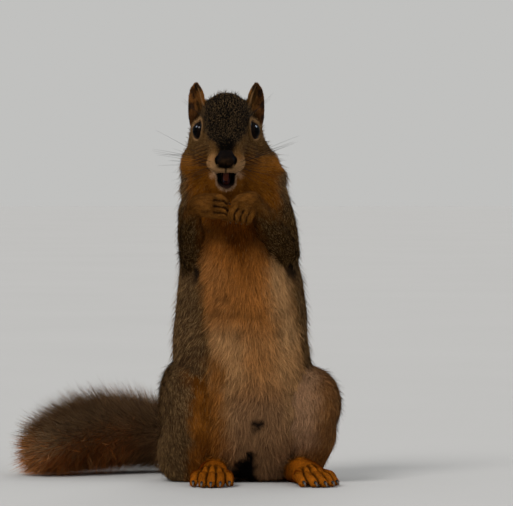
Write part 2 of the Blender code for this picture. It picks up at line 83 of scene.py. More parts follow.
EYE_MIDDLE = head_to_body((0.0, -EYE_SET_BACK, 0.0))[0]
FRAME_SHIFT = np.array(eye_middle_in_frame()) / MM - EYE_MIDDLE


def at(place):
    """A place on the animal, in the frame's metres."""
    return Vector((np.asarray(place, float) + FRAME_SHIFT) * MM)


def on_animal(metres):
    """Rows of places in the frame, in the animal's millimetres."""
    return np.asarray(metres, float) / MM - FRAME_SHIFT


# Numbers that the whole coat shares ------------------------------------------

EYE_AT = {"left": (15.9, -0.5, 0.0), "right": (-15.9, -0.5, 0.0)}  # in the head's frame
EYE_RADIUS = 5.8
EYE_AXIS = {"left": (0.80, -0.56, 0.20), "right": (-0.80, -0.56, 0.20)}  # where the pupils look
# How far the lids are drawn over the eye, in radians: all round, more to the front, more above
LID_CLOSE = (0.10, 0.14, 0.02)
NOSE_TIP = (0.0, -36.0, -11.5)  # in the head's frame
# The open mouth from outside to throat, in the head's frame: how far forward, then the middle height,
# half width and half height of its roof and of its floor
MOUTH_ROOF = (
    (-38.0, -26.8, 8.9, 3.8), (-27.0, -23.8, 7.6, 3.0), (-19.0, -22.6, 6.2, 2.6), (-12.0, -20.4, 4.4, 1.8),
)
MOUTH_FLOOR = (
    (-38.0, -29.0, 7.2, 5.8), (-27.0, -25.7, 6.3, 4.4), (-19.0, -23.6, 5.2, 3.6), (-13.0, -21.0, 3.8, 2.4),
)

TAIL_LINE = [
    (-4.0, 40.0, 16.0), (-8.0, 62.0, 19.0), (-24.0, 84.0, 23.0), (-50.0, 96.0, 25.0),
    (-80.0, 92.0, 29.0), (-106.0, 78.0, 26.0), (-124.0, 64.0, 20.0),
]
TAIL_CORE = (13.0, 10.0, 7.5, 6.5, 6.0, 5.5, 4.5)  # the radius of its flesh at those points

# The lines that the hair follows on each solid, from where it comes to where it goes
LINES = {
    "upper_arm_right": [(-31, -3, 176), (-33, -9, 160), (-32.5, -14, 147)],
    "upper_arm_left": [(17, -3, 178), (22, -8, 164), (25, -13, 151)],
    "forearm_right": [(-33.5, -16, 146), (-34.5, -29, 161), (-34, -40, 175)],
    "forearm_left": [(25.5, -16, 150), (17.5, -31, 163), (9, -42, 177.5)],
    "hand_right": [(-34, -39.5, 174.5), (-30.5, -45, 180), (-21.5, -49.5, 180.5), (-11, -50, 177)],
    "hand_left": [(9.5, -41, 176.5), (4.5, -47, 184), (-1.5, -50, 181), (-3, -51, 170)],
    "thigh_right": [(-30, 26, 70), (-33, -10, 60), (-35, -30, 40)],
    "thigh_left": [(30, 27, 70), (38, -5, 56), (46, -28, 36)],
    "shin_right": [(-35, -24, 56), (-34, -10, 28), (-26, -20, 4)],
    "shin_left": [(44, -18, 54), (41, -8, 28), (36, -20, 4)],
    "foot_right": [(-19.5, 4, 14), (-19.5, -25, 16), (-20, -60, 2)],
    "foot_left": [(30, 4, 14), (39, -24, 16), (51, -56, 2)],
    "tail_base": TAIL_LINE, "tail_middle": TAIL_LINE, "tail_tip": TAIL_LINE,
}

# What grows on each solid: hair length, how deep the skin lies, both in mm, and the hair's rise in degrees
GROWTH = {
    "head": (4.0, 1.2, 16), "lower_jaw": (2.0, 0.7, 14), "neck": (8.0, 2.6, 21),
    "chest": (7.5, 2.8, 16), "belly": (7.5, 2.8, 14), "rump": (7.5, 2.8, 16),
    "upper_arm": (6.0, 2.0, 19), "forearm": (5.0, 1.6, 18), "hand": (2.4, 0.5, 15),
    "thigh": (6.0, 2.4, 18), "shin": (5.0, 2.0, 17), "foot": (2.4, 0.5, 13),
    "ear": (2.0, 0.4, 18), "tail": (30.0, 0.0, 56),
}


def kind_of(node):
    """The word that GROWTH knows a solid by."""
    for kind in GROWTH:
        if node.startswith(kind):
            return kind
    raise KeyError(node)


# Creases across the belly, painted as shade: how high, and from where to where across
CREASES = ((120.5, -27.0, -3.0), (110.5, -27.0, 27.0), (99.5, -16.0, 27.0), (131.0, -24.0, -12.0))
# The line where the right haunch folds against the belly, seen from the front, painted as a shadow line
HAUNCH_FOLD = (
    (-46.0, 0.0, 76.0), (-36.0, 0.0, 86.0), (-25.5, 0.0, 87.0), (-15.5, 0.0, 80.0), (-11.5, 0.0, 66.0),
)
# Bare or dark spots: how far across, how high, the radius, and how dark. The first is a dark spot low on the
# belly, the next three painted shadow between the feet, the last two painted shade under the arms over dark
# underfur
SPOTS_AND_SHADOWS = (
    (8.4, 38.2, 4.3, 1.0), (-1.5, 4.0, 8.2, 1.0), (2.0, 10.5, 6.2, 1.0), (5.0, 16.5, 3.6, 1.0),
    (-31.5, 136.0, 3.4, 0.85), (30.5, 138.0, 3.4, 0.85),
)


# Small tools -----------------------------------------------------------------


def ramp(value, low, high):
    """0 at low, 1 at high, smooth between. high may be the smaller."""
    t = np.clip((value - low) / (high - low), 0.0, 1.0)
    return t * t * (3.0 - 2.0 * t)


def unit(rows):
    return rows / np.maximum(np.linalg.norm(rows, axis=1, keepdims=True), 1e-9)


def side_axes(axis):
    """Two unit vectors square to the axis, the second one nearest to up."""
    axis = unit(np.array([axis], float))[0]
    across = unit(np.cross((0.0, 0.0, 1.0), axis)[None])[0]
    return axis, across, np.cross(axis, across)


def soft_noise(places, size, seed):
    """Smooth noise from 0 to 1, its lumps about size across."""
    table = np.random.default_rng(seed).random((32, 32, 32))
    q = places / size + 1000.0
    cell = np.floor(q).astype(int)
    f = q - cell
    f = f * f * (3.0 - 2.0 * f)
    total = np.zeros(len(places))
    for corner in np.ndindex(2, 2, 2):
        share = np.prod(np.where(np.array(corner) == 1, f, 1.0 - f), axis=1)
        i, j, k = ((cell + corner) % 32).T
        total += share * table[i, j, k]
    return total


def nearest_on_line(places, points):
    """For each place, its distance to the line, how far along it that is, and the line's direction."""
    points = np.array(points, float)
    best = np.full(len(places), np.inf)
    along = np.zeros(len(places))
    direction = np.zeros((len(places), 3))
    for i, (start, end) in enumerate(zip(points, points[1:])):
        step = end - start
        t = np.clip(((places - start) @ step) / (step @ step), 0.0, 1.0)
        distance = np.linalg.norm(places - (start + t[:, None] * step), axis=1)
        closer = distance < best
        best[closer] = distance[closer]
        along[closer] = i + t[closer]
        direction[closer] = step / np.linalg.norm(step)
    return best, along, direction


def object_of(name, data):
    obj = bpy.data.objects.new(name, data)
    bpy.context.scene.collection.objects.link(obj)
    return obj


def applied(obj):
    """Applies the object's modifiers."""
    bpy.context.view_layer.update()
    graph = bpy.context.evaluated_depsgraph_get()
    mesh = bpy.data.meshes.new_from_object(obj.evaluated_get(graph), depsgraph=graph)
    obj.modifiers.clear()
    obj.data = mesh
    return obj


def read(mesh, items, key, width, kind=np.float32):
    values = np.empty(len(items) * width, kind)
    items.foreach_get(key, values)
    return values.reshape(-1, width) if width > 1 else values


def mesh_places(mesh):
    return read(mesh, mesh.vertices, "co", 3).astype(float)


def mesh_normals(mesh):
    return read(mesh, mesh.vertices, "normal", 3).astype(float)


def put_places(mesh, metres):
    mesh.vertices.foreach_set("co", metres.astype(np.float32).ravel())


def dress(mesh, finish):
    """Gives the mesh one finish, shaded smooth."""
    mesh.materials.clear()
    mesh.materials.append(finish)
    mesh.polygons.foreach_set("use_smooth", [True] * len(mesh.polygons))


def edge_pairs(mesh):
    pairs = read(mesh, mesh.edges, "vertices", 2, np.int32)
    return np.concatenate([pairs, pairs[:, ::-1]])


def spread(values, pairs, times, strength=0.5):
    """Evens rows of values out over the surface, a step along its edges at a time."""
    here, there = pairs[:, 0], pairs[:, 1]
    count = np.maximum(np.bincount(here, minlength=len(values)), 1)[:, None]
    strength = np.broadcast_to(np.asarray(strength, float).reshape(-1, 1), (len(values), 1))
    for _ in range(times):
        around = [np.bincount(here, values[there, k], len(values)) for k in range(values.shape[1])]
        values = values + (np.stack(around, 1) / count - values) * strength
    return values


def srgb(red, green, blue):
    """A colour as paint cards give it, 0 to 255, as linear numbers."""
    shares = np.array((red, green, blue)) / 255.0
    return np.where(shares < 0.04045, shares / 12.92, ((shares + 0.055) / 1.055) ** 2.4)


# The skin --------------------------------------------------------------------

SKIN_VOXEL = 0.7  # mm
SKIN_ROUNDS = 22  # how many times its surface is evened out
BRIDGE = 0.3  # mm that each solid is swelled by, to close the cuts between them
SKIN_SHARE = 0.26  # the share of its triangles kept; face, ears, hands and feet keep all of theirs

flesh_nodes = sorted(
    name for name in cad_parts
    if "claw" not in name and name.split("_")[0] not in ("eye", "incisors", "tongue")
)


def into_mesh(bm, name):
    mesh = bpy.data.meshes.new(name)
    bm.to_mesh(mesh)
    bm.free()
    return mesh


def merged_copy(node, swell=0.0):
    """The solid with its corners merged, and its surface moved out by swell, in mm."""
    bm = bmesh.new()
    bm.from_mesh(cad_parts[node].data)
    bmesh.ops.remove_doubles(bm, verts=bm.verts, dist=1e-6)
    bm.normal_update()
    for vertex in bm.verts:
        vertex.co += vertex.normal * swell * MM
    return into_mesh(bm, node)


def joined(name, meshes):
    """The meshes together, as one object."""
    bm = bmesh.new()
    for mesh in meshes:
        bm.from_mesh(mesh)
    return object_of(name, into_mesh(bm, name))


def surface_finder(meshes):
    """A function that gives, for rows of places in metres, the number of the nearest mesh."""
    corners, faces, owner = [], [], []
    for number, mesh in enumerate(meshes):
        start = len(corners)
        corners += [vertex.co.copy() for vertex in mesh.vertices]
        faces += [[start + v for v in face.vertices] for face in mesh.polygons]
        owner += [number] * len(mesh.polygons)
    tree = BVHTree.FromPolygons(corners, faces)

    def owners(places):
        return np.array([owner[tree.find_nearest(place)[2]] for place in places.tolist()])

    return owners


def fine_skin():
    """One closed surface round all the flesh, and a function that says whose solid a place is on."""
    meshes = [merged_copy(node, BRIDGE) for node in flesh_nodes]
    owners = surface_finder(meshes)
    skin = joined("skin", meshes)
    fuse = skin.modifiers.new("fuse", "REMESH")
    fuse.mode, fuse.voxel_size = "VOXEL", SKIN_VOXEL * MM
    applied(skin)

    mesh = skin.data
    owner = owners(mesh_places(mesh))
    is_fine = np.array([node.split("_")[0] in ("hand", "foot", "ear") for node in flesh_nodes])[owner]
    is_head = np.array([node in ("head", "lower_jaw") for node in flesh_nodes])[owner]
    ease = np.where(is_fine, 0.12, np.where(is_head, 0.35, 0.6))
    put_places(mesh, spread(mesh_places(mesh), edge_pairs(mesh), SKIN_ROUNDS, ease))

    keep = skin.vertex_groups.new(name="keep")
    front = body_to_head(on_animal(mesh_places(mesh)))[:, 1] < 6.0
    kept = np.flatnonzero(is_fine | (is_head & front))
    keep.add(kept.tolist(), 1.0, "REPLACE")
    thin = skin.modifiers.new("thin", "DECIMATE")
    thin.ratio, thin.vertex_group, thin.invert_vertex_group = SKIN_SHARE, "keep", True
    thin.use_collapse_triangulate = True
    applied(skin)
    skin.vertex_groups.clear()
    return skin, owners


def lids_drawn_over(places):
    """Places round the eyes, turned about each eye's middle so that the lids close a little over it."""
    head = body_to_head(places)
    for side in ("left", "right"):
        middle = np.array(EYE_AT[side])
        axis, _, up = side_axes(EYE_AXIS[side])
        steps = head - middle
        gap = np.linalg.norm(steps, axis=1)
        ways = unit(steps)
        angle = np.arccos(np.clip(ways @ axis, -1.0, 1.0))
        aside = unit(ways - (ways @ axis)[:, None] * axis)
        nearer_nose = np.clip(aside @ np.array((0.0, -1.0, 0.0)), -1.0, 1.0)
        amount = LID_CLOSE[0] + LID_CLOSE[1] * nearer_nose + LID_CLOSE[2] * (aside @ up)
        amount *= ramp(gap, EYE_RADIUS + 4.5, EYE_RADIUS + 0.4) * ramp(angle, 2.2, 1.6)
        turned = np.maximum(angle - amount, 0.3)
        moved = middle + gap[:, None] * (axis * np.cos(turned)[:, None] + aside * np.sin(turned)[:, None])
        head = np.where((amount > 0.0)[:, None] & (gap < EYE_RADIUS + 4.5)[:, None], moved, head)
    return head_to_body(head)


def lips_drawn_over(places):
    """Places on the upper lip, let down towards the corners of the mouth so that it arches."""
    head = body_to_head(places)
    x, y, z = np.abs(head[:, 0]), head[:, 1], head[:, 2]
    forward, middle = np.array(MOUTH_ROOF).T[:2]
    above = z - np.interp(y, forward, middle)
    share = ramp(mouth_reach(head), 2.0, 1.1) * ramp(above, -1.0, 1.0) * ramp(y, -13.0, -19.0)
    head[:, 2] = z - 2.4 * share * ramp(x, 1.5, 6.0) * ramp(x, 14.0, 9.0)
    return head_to_body(head)


skin, owners_of = fine_skin()


# Fields over the skin --------------------------------------------------------


def distance_to_eye(head_places):
    """The distance to the nearer eye's centre, and which way that centre lies."""
    steps = [np.array(EYE_AT[side]) - head_places for side in ("left", "right")]
    lengths = [np.linalg.norm(step, axis=1) for step in steps]
    nearer = lengths[0] < lengths[1]
    step = np.where(nearer[:, None], steps[0], steps[1])
    return np.minimum(*lengths), unit(step)


def mouth_reach(head_places):
    """How far out of the mouth's middle each place is: 1 on the edge of the lips."""
    x, y, z = head_places.T
    reaches = []
    for stations in (MOUTH_ROOF, MOUTH_FLOOR):
        forward, middle, half_width, half_height = np.array(stations).T
        across = x / np.interp(y, forward, half_width)
        up = (z - np.interp(y, forward, middle)) / np.interp(y, forward, half_height)
        reaches.append(np.hypot(across, up))
    return np.minimum(*reaches)


def inside_mouth(head_places):
    """1 within the open mouth, 0 outside it."""
    y = head_places[:, 1]
    return ramp(mouth_reach(head_places), 1.12, 1.02) * (y < -9.0) * (y > -34.0)


FINGERS = {
    "hand_right": [
        [(-21.5, -49.5, 186.0 - 3.9 * i), (-15.5, -51.5, 185.6 - 3.9 * i), (-12.0, -48.5, 183.0 - 3.6 * i)]
        for i in range(4)
    ],
    "hand_left": [
        [(-6.0 + 3.9 * i, -50.5, 180.0 - 1.2 * i), (-8.4 + 3.9 * i, -52.5, 175.5 - i),
         (-8.8 + 3.7 * i, -49.0, 172.0 - 0.6 * i)]
        for i in range(4)
    ],
}
# Where each heel stands, and which way the foot is turned
HEELS = {
    "foot_right": ((-19.5, 2.0, 0.0), math.radians(-2)),
    "foot_left": ((30.0, 2.0, 0.0), math.radians(20)),
}
TOE_SPREAD = (-11.6, -6.0, 0.0, 6.0, 11.6)
TOE_REACH = (-51.5, -57.5, -59.5, -57.5, -50.5)


def toe_lines(foot):
    """The five toes of a foot, from the ball of the foot to the tip."""
    heel, turn = HEELS[foot]
    lines = []
    for aside, reach in zip(TOE_SPREAD, TOE_REACH):
        own = ((aside * 0.72, -34.0, 6.4), (aside * 0.92, (reach - 36.0) / 2, 6.8), (aside, reach, 2.7))
        cos, sin = math.cos(turn), math.sin(turn)
        lines.append([(heel[0] + x * cos - y * sin, heel[1] + x * sin + y * cos, z) for x, y, z in own])
    return lines


def between_digits(node, places):
    """1 in the grooves between a hand's fingers or a foot's toes, 0 elsewhere."""
    lines = FINGERS[node] if node in FINGERS else toe_lines(node)
    found = [nearest_on_line(places, line) for line in lines]
    distances = np.stack([distance for distance, _, _ in found])
    gaps, nearest = np.sort(distances, axis=0), np.argmin(distances, axis=0)
    along = np.stack([each for _, each, _ in found])[nearest, np.arange(len(places))]
    return ramp(gaps[1] - gaps[0], 1.5, 0.2) * ramp(along, 0.0, 0.3)


def head_lie(head_places):
    """The hair of the head runs back from the nose, and bends round the eyes."""
    away = unit(head_places - np.array((0.0, -44.0, -12.0)))
    gap, towards = distance_to_eye(head_places)
    away = away - towards * np.exp(-np.maximum(gap - 6.5, 0.0) / 2.2)[:, None] * 1.1
    cheek = ramp(head_places[:, 2], -4.0, -16.0) * ramp(head_places[:, 1], -22.0, 2.0)
    away[:, 2] -= 0.5 * cheek
    return head_to_body(unit(away)) - HEAD_AT


# Heights, and how far across the belly's middle lies at each
MIDLINE = (
    (0.0, 60.0, 87.0, 100.0, 114.0, 127.0, 140.0, 160.0, 210.0),
    (8.0, 9.0, 9.0, 7.0, 4.2, 1.2, -0.5, -4.0, -8.0),
)


def aside_of_midline(places):
    return places[:, 0] - np.interp(places[:, 2], *MIDLINE)


def trunk_lie(places, normals):
    """Down the body, parting from the middle of the belly."""
    aside = np.clip(aside_of_midline(places) / 26.0, -1.0, 1.0)
    front = ramp(normals[:, 1], 0.1, -0.6)
    rows = np.zeros_like(places)
    rows[:, 0] = 0.55 * aside * front
    rows[:, 1] = 0.12 * (1.0 - front)
    rows[:, 2] = -1.0
    return rows


def lie_of(node, places, normals):
    """The way that the hair on a solid runs, before it is laid along the surface."""
    kind = kind_of(node)
    if kind in ("head", "lower_jaw"):
        return head_lie(body_to_head(places))
    if kind in ("neck", "chest", "belly", "rump"):
        return trunk_lie(places, normals)
    if kind == "ear":
        return np.tile(head_to_body((0.0, 0.35, 1.0)) - HEAD_AT, (len(places), 1))
    rows = nearest_on_line(places, LINES[node])[2]
    if kind in ("thigh", "shin", "upper_arm"):
        rows = rows + np.array((0.0, 0.0, -0.8))
    return rows


def laid_along(rows, normals):
    """Turns rows of directions into the surface's own plane."""
    return unit(rows - normals * np.sum(rows * normals, axis=1, keepdims=True))


def head_growth(head_places):
    """Hair length on the head: least on the nose, more behind the eyes, most at the nape."""
    from_nose = np.linalg.norm(head_places - np.array(NOSE_TIP), axis=1)
    length = np.interp(from_nose, (0, 6, 14, 26, 38, 52, 70), (0.7, 0.9, 1.4, 1.8, 2.1, 3.2, 7.0))
    gap, _ = distance_to_eye(head_places)
    x, y, z = head_places.T
    aside = np.abs(x)
    behind_eye = ramp(y, 1.0, 6.0) * ramp(aside, 14.0, 18.0) * ramp(z, -14.0, -6.0) * ramp(z, 18.0, 10.0)
    lip_side = (
        ramp(aside, 2.0, 5.5) * ramp(mouth_reach(head_places), 1.7, 1.3)
        * ramp(z, -26.5, -24.0) * ramp(y, -12.0, -18.0)
    )
    return length * (0.35 + 0.65 * ramp(gap, 6.0, 14.0)) + 2.2 * behind_eye + 0.8 * lip_side


def crease_under(places):
    """How far each place is above the crease next below it, and how strongly that one is painted there."""
    x, z = places[:, 0], places[:, 2]
    best, marked = np.full(len(places), 99.0), np.zeros(len(places))
    level = places * np.array((1.0, 0.0, 0.0))
    for height, low, high in CREASES:
        line = height + 0.5 * np.sin(x / 6.0 + height) + 2.0 * (soft_noise(level, 9.0, int(height)) - 0.5)
        here = ramp(x, low - 4, low + 4) * ramp(x, high + 4, high - 4)
        here *= 0.4 + 0.6 * ramp(np.abs(aside_of_midline(places)), 2.0, 12.0)
        closer = (z - line > -2.5) & (z - line < best) & (here > 0.02)
        best[closer] = (z - line)[closer]
        marked[closer] = here[closer]
    return best, marked


def hair_room(places, normals):
    """How long hair may be before it would lie across one of the belly's dark spots and painted shadows."""
    x, z = places[:, 0], places[:, 2]
    room = np.full(len(places), 99.0)
    for spot_x, spot_z, radius, _ in SPOTS_AND_SHADOWS:
        gap = np.maximum(np.hypot(x - spot_x, z - spot_z) - radius, 0.0)
        covering = (np.abs(x - spot_x) < 1.4 * radius) & (z > spot_z - radius)
        room = np.where(covering, np.minimum(room, 0.9 + 0.8 * gap), room)
    return np.where(normals[:, 1] < -0.1, room, 99.0)


FIELD_ROUNDS = 26  # how many times the coat's lie, length and depth are evened out
TAIL_HAIR = (5.0, 32.0)  # the shortest and the longest hair of the tail, in mm


def skin_fields(mesh):
    """What the coat needs to know at every corner of the outer surface, as rows by name."""
    places, normals = on_animal(mesh_places(mesh)), mesh_normals(mesh)
    head_places = body_to_head(places)
    owner = owners_of(mesh_places(mesh))
    length, depth, rise = np.array([GROWTH[kind_of(node)] for node in flesh_nodes])[owner].T
    lie = np.zeros_like(places)
    for number, node in enumerate(flesh_nodes):
        own = owner == number
        lie[own] = unit(lie_of(node, places[own], normals[own]))
    kinds = np.array([kind_of(node) for node in flesh_nodes])[owner]
    on_head = np.isin(kinds, ("head", "lower_jaw"))
    length = np.where(on_head, head_growth(head_places), length)
    depth = np.where(on_head, np.clip(0.3 * length, 0.3, 2.4), depth)
    lie = laid_along(lie, normals)
    values = np.column_stack([lie, length, depth, rise])
    on_tail = kinds == "tail"
    values = spread(values, edge_pairs(mesh), FIELD_ROUNDS, np.where(on_tail, 0.2, 0.55))
    from_line, _, flesh = tail_section(places)
    gap = np.maximum(from_line - flesh, 0.0)
    reach = np.clip(0.93 * gap / np.sin(np.radians(values[:, 5])), *TAIL_HAIR)
    reach *= 1.0 + 0.2 * ramp(normals[:, 2], -0.3, -0.8)
    values[:, 3] = np.where(on_tail, reach, values[:, 3])
    shortened = np.minimum(values[:, 3], hair_room(places, normals))
    values[:, 3] = np.where(on_tail | on_head, values[:, 3], shortened)
    x, y, z = places.T
    nape = ramp(y, 2.0, 8.0) * ramp(z, 200.0, 212.0) * on_head
    values[:, 5] -= 9.0 * nape
    full_cheek = ramp(x, 17.0, 24.0) * ramp(z, 202.0, 210.0) * ramp(z, 220.0, 212.0) * (kinds != "ear")
    values[:, 4] += 3.0 * full_cheek
    groove = np.zeros(len(places))
    for node in ("hand_left", "hand_right", "foot_left", "foot_right"):
        own = owner == flesh_nodes.index(node)
        groove[own] = between_digits(node, places[own])
    flattened = spread(places, edge_pairs(mesh), 10)
    # How deep each place lies in a hollow: the markings paint shade there, darker the deeper it lies
    painted_shade = np.clip(np.sum((flattened - places) * normals, axis=1) / 0.35, 0.0, 1.0)
    bare = np.maximum(inside_mouth(head_places), ramp(distance_to_eye(head_places)[0], 7.0, 6.5))
    return {
        "places": places, "head": head_places, "normals": normals, "owner": owner, "kinds": kinds,
        "lie": clumped(values[:, :3], normals, places, np.where(on_tail, 0.3, 1.0)),
        "length": values[:, 3] * (1.0 - 0.6 * groove), "depth": values[:, 4] + 1.3 * groove,
        "rise": values[:, 5], "bare": bare, "groove": groove, "painted_shade": np.where(on_tail, 0.0, painted_shade),
        "fan": np.maximum(from_line / flesh, 1.0),  # how much wider the tail's outline is than its flesh
    }


def clumped(lie, normals, places, strength):
    """Swings the lie to and fro a little, so that the hair falls in locks."""
    swing = (soft_noise(places, 4.0, 21) - 0.5) * 0.6 + (soft_noise(places, 13.0, 22) - 0.5) * 0.6
    return unit(laid_along(lie, normals) + np.cross(normals, lie) * (swing * strength)[:, None])


def tail_section(places):
    """Each place's distance to the tail's middle line, how far along it that is, and its flesh's radius."""
    distance, along, _ = nearest_on_line(places, TAIL_LINE)
    return distance, along, np.interp(along, range(len(TAIL_CORE)), TAIL_CORE)


def drawn_in(fields):
    """The outer surface's places, moved in to where the skin lies under the coat."""
    places = fields["places"] - fields["normals"] * (fields["depth"] * (1.0 - fields["bare"]))[:, None]
    on_tail = fields["kinds"] == "tail"
    distance, along, flesh = tail_section(places)
    line = np.array(TAIL_LINE, float)
    steps = np.arange(len(line))
    axis = np.stack([np.interp(along, steps, line[:, k]) for k in range(3)], 1)
    share = np.minimum(1.0, flesh / np.maximum(distance, 1e-6))[:, None]
    return np.where(on_tail[:, None], axis + (places - axis) * share, places)


# Markings --------------------------------------------------------------------

# How each part of the coat looks in soft light, as sRGB numbers from 0 to 255
# A few of these paint light and shade: chest is a painted shadow under the paws, the crease paint is painted
# shade in the belly's creases, the ear rim is a pale rim painted as rim light, and dark also paints shadow
# between the feet, under the arms and deep in the mouth
PAINT = {
    "grizzle": (68, 49, 29), "crown": (9, 7, 5), "cheek": (104, 63, 18), "eye ring": (132, 100, 66),
    "under eye": (66, 45, 20), "muzzle": (130, 100, 68), "lip": (166, 134, 104), "nose bridge": (6, 4, 2),
    "throat": (94, 54, 9), "shoulder": (62, 42, 18), "chest": (76, 38, 4), "belly": (122, 76, 34),
    "upper belly": (112, 66, 24), "pale belly": (136, 104, 69), "low belly": (100, 74, 51),
    "crease shade": (40, 22, 9), "groin": (30, 18, 11), "arm": (48, 31, 9), "paw": (88, 54, 18),
    "shank": (84, 44, 4), "inner thigh": (122, 92, 67), "outer thigh": (98, 64, 34), "foot": (142, 80, 15),
    "strip": (106, 62, 18), "ear": (72, 43, 20), "ear rim light": (150, 112, 72), "ear edge": (30, 22, 18),
    "ear light": (132, 84, 40), "tail": (134, 106, 78), "low tail": (168, 102, 48), "mouth": (50, 32, 26),
    "dark": (8, 6, 5),
}
SEEN = 0.6  # how bright a white coat looks under these lights
# Heights, and half the width there of the dark crown, of the underside and of the dark nose bridge
DARK_CROWN = (
    (205.0, 209.0, 215.0, 220.0, 224.0, 228.0, 235.0, 247.0), (5.2, 5.4, 6.0, 7.8, 11.5, 15.0, 16.0, 14.0),
)
UNDERSIDE = ((20.0, 60.0, 87.0, 127.0, 150.0, 172.0, 196.0), (30.0, 31.0, 28.5, 30.0, 26.5, 30.0, 26.0))
NOSE_BRIDGE = ((204.0, 210.0, 216.0, 222.0), (8.0, 7.4, 6.6, 7.0))
# Dark blotches inside the ears: how far from the head's middle, how high, and the radius
EAR_BLOTCHES = ((18.2, 256.5, 2.8), (21.8, 251.5, 2.3), (23.4, 243.5, 2.8), (24.2, 236.0, 1.8))


class Paints:
    """Colour and grizzle at every corner. Each paint is laid over the ones before it."""

    def __init__(self, count, name, grizzle):
        self.colour = np.tile(srgb(*PAINT[name]) / SEEN, (count, 1))
        self.grizzle = np.full(count, float(grizzle))

    def lay(self, name, mask, grizzle):
        share = np.clip(mask, 0.0, 1.0)
        self.colour += (srgb(*PAINT[name]) / SEEN - self.colour) * share[:, None]
        self.grizzle += (grizzle - self.grizzle) * share


def trunk_markings(paints, fields, wander):
    """Grizzled back and sides, orange-buff underside, from the throat to between the legs."""
    places, normals, kinds = fields["places"], fields["normals"], fields["kinds"]
    x, _, z = places.T
    on_trunk = np.isin(kinds, ("chest", "belly", "rump", "neck")) * 1.0
    forward = ramp(normals[:, 1], 0.25, -0.35)
    aside = np.abs(aside_of_midline(places)) + 6.0 * wander
    half_width = np.interp(z, *UNDERSIDE)
    under = ramp(aside, half_width + 3.5, half_width - 3.5) * forward * on_trunk
    edge = ramp(aside, half_width + 9.0, half_width) * forward * on_trunk
    paints.lay("shoulder", edge * 0.7, 0.7)
    paints.lay("belly", under, 0.06)
    sides = ramp(aside, 9.0, 20.0) * ramp(z, 84.0, 104.0) * ramp(z, 168.0, 140.0)
    paints.lay("pale belly", under * sides * (0.1 + 0.75 * ramp(x, -12.0, 4.0)), 0.05)
    paints.lay("low belly", under * ramp(z, 84.0, 50.0) * 0.9, 0.05)
    paints.lay(
        "pale belly", under * ramp(z, 74.0, 62.0) * ramp(z, 30.0, 44.0) * ramp(aside, 12.0, 22.0) * 0.5, 0.05
    )
    bib = z - (126.0 + 1.25 * aside)
    paints.lay("upper belly", under * ramp(bib, -6.0, 12.0) * 0.9, 0.06)
    paints.lay("throat", under * ramp(z, 158.0, 176.0), 0.12)
    # Painted shadow under the paws, darker than the chest's own orange
    paints.lay("chest", under * ramp(bib, 14.0, 34.0) * ramp(z, 190.0, 178.0) * ramp(aside, 28.0, 16.0), 0.1)
    paler = 0.3 + 0.4 * ramp(aside, 4.0, 14.0)
    paints.lay("pale belly", under * ramp(z, 114.0, 96.0) * ramp(z, 56.0, 76.0) * paler, 0.05)
    # Painted shade along the belly's creases, over the darker underfur that shows where the fur parts
    above, marked = crease_under(places)
    paints.lay("crease shade", 0.7 * ramp(np.abs(above - 3.0), 2.3, 0.6) * marked * under, 0.0)
    # A painted shadow line where the right haunch folds against the belly
    fold, _, _ = nearest_on_line(places * np.array((1.0, 0.0, 1.0)), HAUNCH_FOLD)
    paints.lay("crease shade", 0.55 * ramp(fold, 3.0, 0.5) * ramp(normals[:, 1], 0.3, -0.1) * on_trunk, 0.1)


def limb_markings(paints, fields, wander):
    places, normals, kinds = fields["places"], fields["normals"], fields["kinds"]
    x, y, z = places.T
    owner = np.array(flesh_nodes)[fields["owner"]]
    arm = np.isin(kinds, ("upper_arm", "forearm"))
    paints.lay("arm", arm * 1.0, 0.75)
    paints.lay("shank", arm * ramp(normals[:, 0] * np.sign(x + 8.0), 0.0, -0.7) * 0.6, 0.25)
    paints.lay("paw", (kinds == "hand") * 1.0, 0.15)
    paints.lay("paw", ramp(z, 164.0, 174.0) * (kinds == "forearm") * 0.8, 0.3)

    right_leg = np.isin(owner, ("thigh_right", "shin_right"))
    left_leg = np.isin(owner, ("thigh_left", "shin_left"))
    front = ramp(normals[:, 1] + 0.5 * wander, 0.5, -0.35)
    paints.lay("shank", right_leg * front * ramp(x + 9.0 * wander + 0.12 * (z - 40.0), -39.0, -25.0), 0.2)
    paints.lay("shank", right_leg * ramp(z, 30.0, 10.0) * ramp(x, -44.0, -34.0), 0.2)
    paints.lay("outer thigh", left_leg * front, 0.3)
    inner = ramp(x + 5 * wander, 55.0, 40.0) * ramp(z, 14.0, 28.0)
    paints.lay("inner thigh", left_leg * front * inner, 0.12)
    paints.lay("shank", left_leg * front * ramp(z, 30.0, 10.0) * ramp(x, 28.0, 40.0) * 0.8, 0.2)
    outer_edge = np.interp(z, (10.0, 40.0, 72.0, 90.0), (-34.0, -32.0, -25.0, -20.0))
    strip = ramp(x + 8.0 * wander, outer_edge - 8.0, outer_edge + 4.0) * ramp(x + 7.0 * wander, -6.0, -20.0)
    below = np.isin(kinds, ("belly", "rump", "thigh", "shin")) * ramp(z, 96.0, 74.0)
    below = below * front * ramp(y, 20.0, 5.0)
    paints.lay("strip", strip * below * 0.9, 0.1)
    # The dark spot low on the belly, painted shadow between the feet, and painted shade under the arms
    for spot_x, spot_z, radius, darkness in SPOTS_AND_SHADOWS:
        reach = np.hypot(x - spot_x, z - spot_z) + 4.0 * wander
        not_limb = ~np.isin(kinds, ("foot", "hand", "forearm", "head", "tail"))
        paints.lay("dark", ramp(reach, 1.3 * radius + 0.6, 0.8 * radius) * not_limb * front * darkness, 0.0)
    paints.lay("foot", (kinds == "foot") * 1.0, 0.05)


